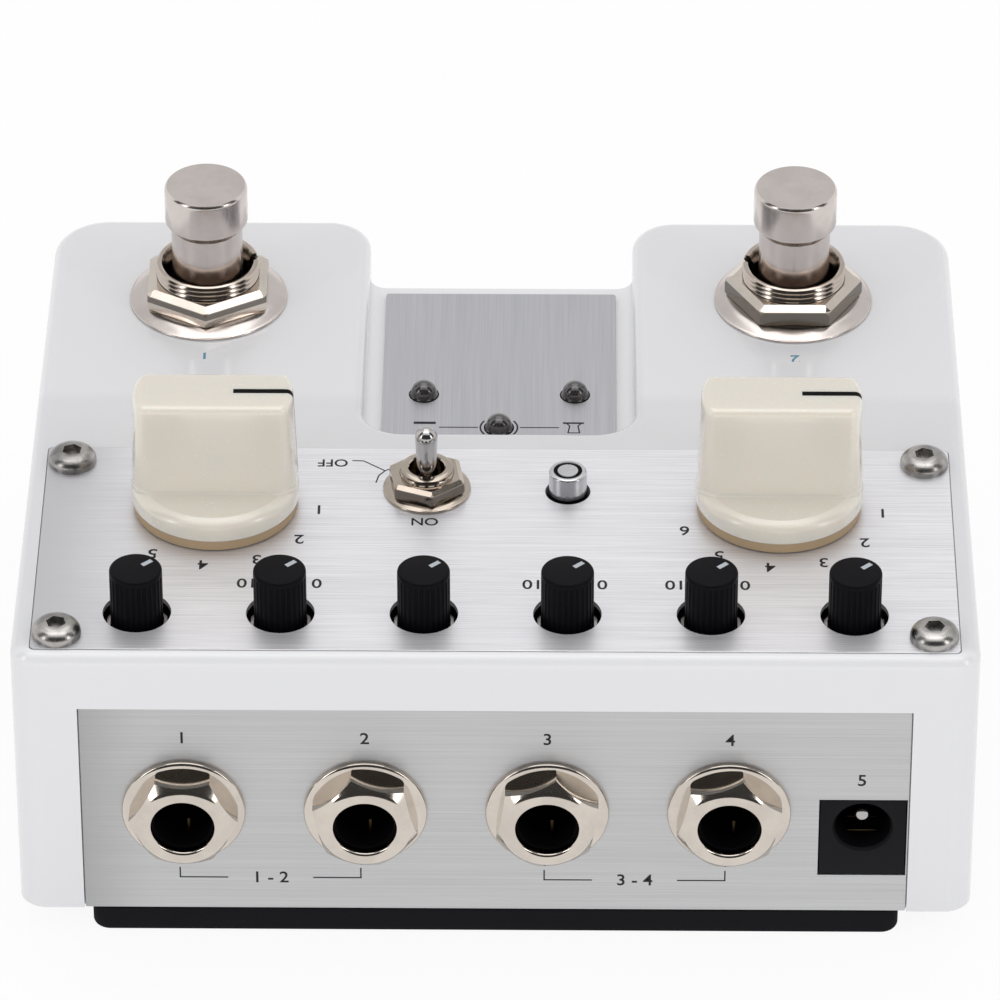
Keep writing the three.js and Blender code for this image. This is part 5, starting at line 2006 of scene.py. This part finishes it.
@dataclass
class PowerSocket:
    """A moulded power socket with a round mouth, its centre pin and two contacts."""

    mouth: float = 6.3
    mouth_up: float = 0.9
    mouth_edge: Pair = (0.25, 0.35)
    front: float = -42.36
    side: float = 0.3
    top_drop: float = 0.75
    depth: float = 9.5
    pin: float = 2.0
    pin_tip: float = 0.6
    pin_behind: float = 1.55
    pin_root: float = 0.5
    edge: float = 0.12
    contacts: tuple[Pair, ...] = ((2.2, 2.35), (4.2, 2.0))
    contact: Triple = (1.7, 0.5, 0.35)
    contact_edge: float = 0.06

    def build(self) -> None:
        """Makes the socket, its pin and its contacts."""
        place = Place.of("dc_socket")
        low, high, x, z = place.low, place.high, place.middle.x, place.middle.z + self.mouth_up
        front, side, radius, deep = self.front, self.side, self.mouth / 2, -self.depth
        near = (low.x - side, front, low.z - side)
        block = Form.block(near, (high.x + side, high.y, high.z - self.top_drop)).soften(self.edge, 3)
        wide, slope = radius + self.mouth_edge[0], self.mouth_edge[1]
        tool = Form.turned([(0, deep), (radius, deep), (radius, -slope), (wide, 0), (wide, 1), (0, 1)])
        block.cut(tool.stand(x, front, z)).piece("power_block", BLACK, "dc_socket", smooth=35)
        pin, foot = self.pin / 2, deep - self.pin_root
        form = Form.turned([(0, foot), (pin, foot), *soft(pin, 0, self.pin_tip, 6), (0, 0)], SMALL_STEPS)
        form.stand(x, low.y + self.pin_behind, z).piece("power_pin", CHROME, smooth=40)
        half, thick, tall = self.contact
        for index, (behind, drop) in enumerate(self.contacts, 1):
            near = front + behind
            spring = Form.block((x - half, near, z - drop), (x + half, near + thick, z - drop + tall))
            spring.soften(self.contact_edge).piece(f"power_contact_{index}", BROWN)


@dataclass
class Pad:
    """The black rubber pad under the pedal."""

    inset: float = 8.2
    corner: float = 2.0
    edge: float = 0.55
    top_edge: float = 0.15

    def build(self) -> None:
        """Makes the pad."""
        place = Place.of("rubber_pad")
        low, high, inner = place.low, place.high, NOTCH_HALF + self.inset
        right = ((high.x, low.y), (high.x, high.y), (inner, high.y), (inner, high.y - NOTCH_DEPTH))
        corners = mirrored([(x, y, self.corner) for x, y in right], -1)
        foot = arc(-self.edge, self.edge, self.edge, -90, 0, 6)
        levels = [(low.z + up, rounded(corners, -out)) for out, up in foot]
        levels += [(high.z - self.top_edge, rounded(corners)), (high.z, rounded(corners, self.top_edge))]
        Form.loft(levels).piece("foot_pad", RUBBER, "rubber_pad", smooth=45)


@dataclass(frozen=True)
class View:
    """The camera of the photograph, as it was fitted, in millimetres, degrees and pixels."""

    frame_pixels: float = 1000.0
    focal_pixels: float = 7706.2
    sensor: float = 36.0
    place: Triple = (7.29, -724.82, 549.7)
    pitch: float = 35.642
    yaw: float = 0.563
    roll: float = -0.062
    near: float = 0.05
    far: float = 20.0

    def build(self) -> None:
        """Creates the camera and makes it the scene's."""
        data = bpy.data.cameras.new("photograph")
        data.sensor_width, data.lens = self.sensor, self.focal_pixels / self.frame_pixels * self.sensor
        data.clip_start, data.clip_end = self.near, self.far
        camera = link("photograph", data)
        turn = Matrix.Identity(4)
        for angle, axis in ((self.yaw, "Z"), (90 - self.pitch, "X"), (self.roll, "Z")):
            turn = turn @ Matrix.Rotation(math.radians(angle), 4, axis)
        camera.matrix_world = Matrix.Translation(Vector(self.place) * MM) @ turn
        bpy.context.scene.camera = camera


def aimed(place: Sequence[float]) -> Matrix:
    """The place and turn of something that faces the origin."""
    return Matrix.Translation(place) @ (-Vector(place)).to_track_quat("-Z", "Y").to_matrix().to_4x4()


@dataclass
class Studio:
    """The floor, the surroundings, the lamps and the cards, in metres and watts."""

    floor_size: float = 6.0
    floor_grey: float = 0.86
    floor_glow: float = 1.015
    floor_share: float = 0.9
    surround: float = 0.73
    card_distance: float = 1.5

    def world(self) -> None:
        """White to the camera and to shiny things, a little less to the rest."""
        world = bpy.data.worlds.new("studio")
        world.use_nodes = True
        bpy.context.scene.world = world
        recipe = Recipe(world.node_tree)
        strength = self.surround + (1 - self.surround) * recipe.lit_white()
        glow = recipe.add("ShaderNodeBackground", sockets={"Color": WHITE, "Strength": strength})
        recipe.add("ShaderNodeOutputWorld", sockets={"Surface": glow})

    def sheet(self, name: str, width: float, height: float) -> tuple[bpy.types.Object, Recipe]:
        """A flat stage piece round the origin.

        Args:
            name: its name and its material's.
            width: its size along X.
            height: its size along Y.

        Returns:
            The object and its material's emptied tree.
        """
        form = Form()
        bmesh.ops.create_grid(form.mesh, x_segments=1, y_segments=1, size=0.5)
        bmesh.ops.scale(form.mesh, verts=form.mesh.verts, vec=(width, height, 1))
        made = form.holder(name)
        material, recipe = fresh(name)
        made.data.materials.append(material)
        return made, recipe

    def floor(self) -> None:
        """A pale floor that shows white and keeps the pedal's soft shadow."""
        _, recipe = self.sheet("floor", self.floor_size, self.floor_size)
        matt = recipe.add("ShaderNodeBsdfDiffuse", sockets={"Color": (*(self.floor_grey,) * 3, 1)})
        glow = recipe.add("ShaderNodeEmission", sockets={"Color": WHITE, "Strength": self.floor_glow})
        share = self.floor_share * recipe.lit_white()
        mixed = recipe.add("ShaderNodeMixShader", sockets={0: share, 1: matt, 2: glow})
        recipe.add("ShaderNodeOutputMaterial", sockets={"Surface": mixed})

    def lamp(self, name: str, place: Triple, size: Pair, power: float, mirrored_too: bool = True) -> None:
        """A soft box that faces the pedal.

        Args:
            name: the lamp's name.
            place: where it hangs.
            size: its width and height.
            power: its watts.
            mirrored_too: whether shiny surfaces show it.
        """
        data = bpy.data.lights.new(name, "AREA")
        data.shape, data.energy = "RECTANGLE", power
        data.size, data.size_y = size
        lamp = link(name, data)
        lamp.visible_camera, lamp.visible_glossy = False, mirrored_too
        lamp.matrix_world = aimed(place)

    def card(self, name: str, turn: float, up: float, width: float, height: float, level: float) -> None:
        """A card that only shiny surfaces see.

        Args:
            name: the card's name.
            turn: its direction from the front, in degrees to the right.
            up: its direction above the floor in degrees.
            width: half of the angle that it spans sideways, in degrees.
            height: half of the angle that it spans upwards, in degrees.
            level: how bright it is, where white is 1.
        """
        far, side, rise = self.card_distance, math.radians(turn), math.radians(up)
        flat = math.cos(rise)
        place = Vector((flat * math.sin(side), -flat * math.cos(side), math.sin(rise))) * far
        card, recipe = self.sheet(name, *(2 * far * math.tan(math.radians(half)) for half in (width, height)))
        card.matrix_world = aimed(place)
        card.data.materials[0].cycles.emission_sampling = "NONE"
        glow = recipe.add("ShaderNodeEmission", sockets={"Color": WHITE, "Strength": level})
        recipe.add("ShaderNodeOutputMaterial", sockets={"Surface": glow})
        card.visible_camera = card.visible_diffuse = card.visible_shadow = card.visible_transmission = False

    def build(self) -> None:
        """Sets the stage."""
        bpy.context.scene.view_settings.view_transform = "Standard"
        self.world()
        self.floor()
        self.lamp("top", (0, 0.38, 1.0), (0.7, 0.8), 1.5)
        self.lamp("front", (0, -1.25, 0.28), (1.2, 0.5), 2.25, mirrored_too=False)
        for side in SIDES:
            self.lamp(f"strip_{HANDS[side]}", (side * 0.85, -0.53, 0.5), (0.16, 0.45), 0.8)
            self.card(f"dark_{HANDS[side]}", side * 82, 35, 10, 27, 0.05)
        self.card("dark_front", 0, 35, 50, 24, 0.05)
        self.card("grey_back", 180, 37, 44, 24, 0.75)
        self.card("bright_top", 0, 87, 36, 11, 2.2)


def dress_hidden() -> None:
    """Gives the CAD nodes that stay their materials."""
    looks = {node: GREEN_BOARD for node in ("control_board", "jack_board")}
    looks |= {"tact_switch": BLACK, "base_plate": BLACK_STEEL}
    for node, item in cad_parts.items():
        item.data.materials.clear()
        item.data.materials.append(looks.get(node, STEEL).material())


def main() -> None:
    """Builds the pedal and its stage, piece by piece."""
    logging.basicConfig(level=logging.INFO, format="%(name)s: %(message)s")
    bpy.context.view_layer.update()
    dress_hidden()
    assemblies = [
        View(), Studio(), Housing(), Sheets(), Marks(), PlateScrews(), SmallKnobs(),
        *(BarKnob(hand) for hand in HANDS.values()), Toggle(), PushButton(), Lamps(),
        *(Footswitch(hand, *turns) for hand, turns in FOOTSWITCH_TURNS.items()),
        *(Jack(index, turn) for index, turn in enumerate(JACK_TURNS, 1)), PowerSocket(), Pad(),
    ]
    for assembly in assemblies:
        assembly.build()


if __name__ == "__main__":
    main()
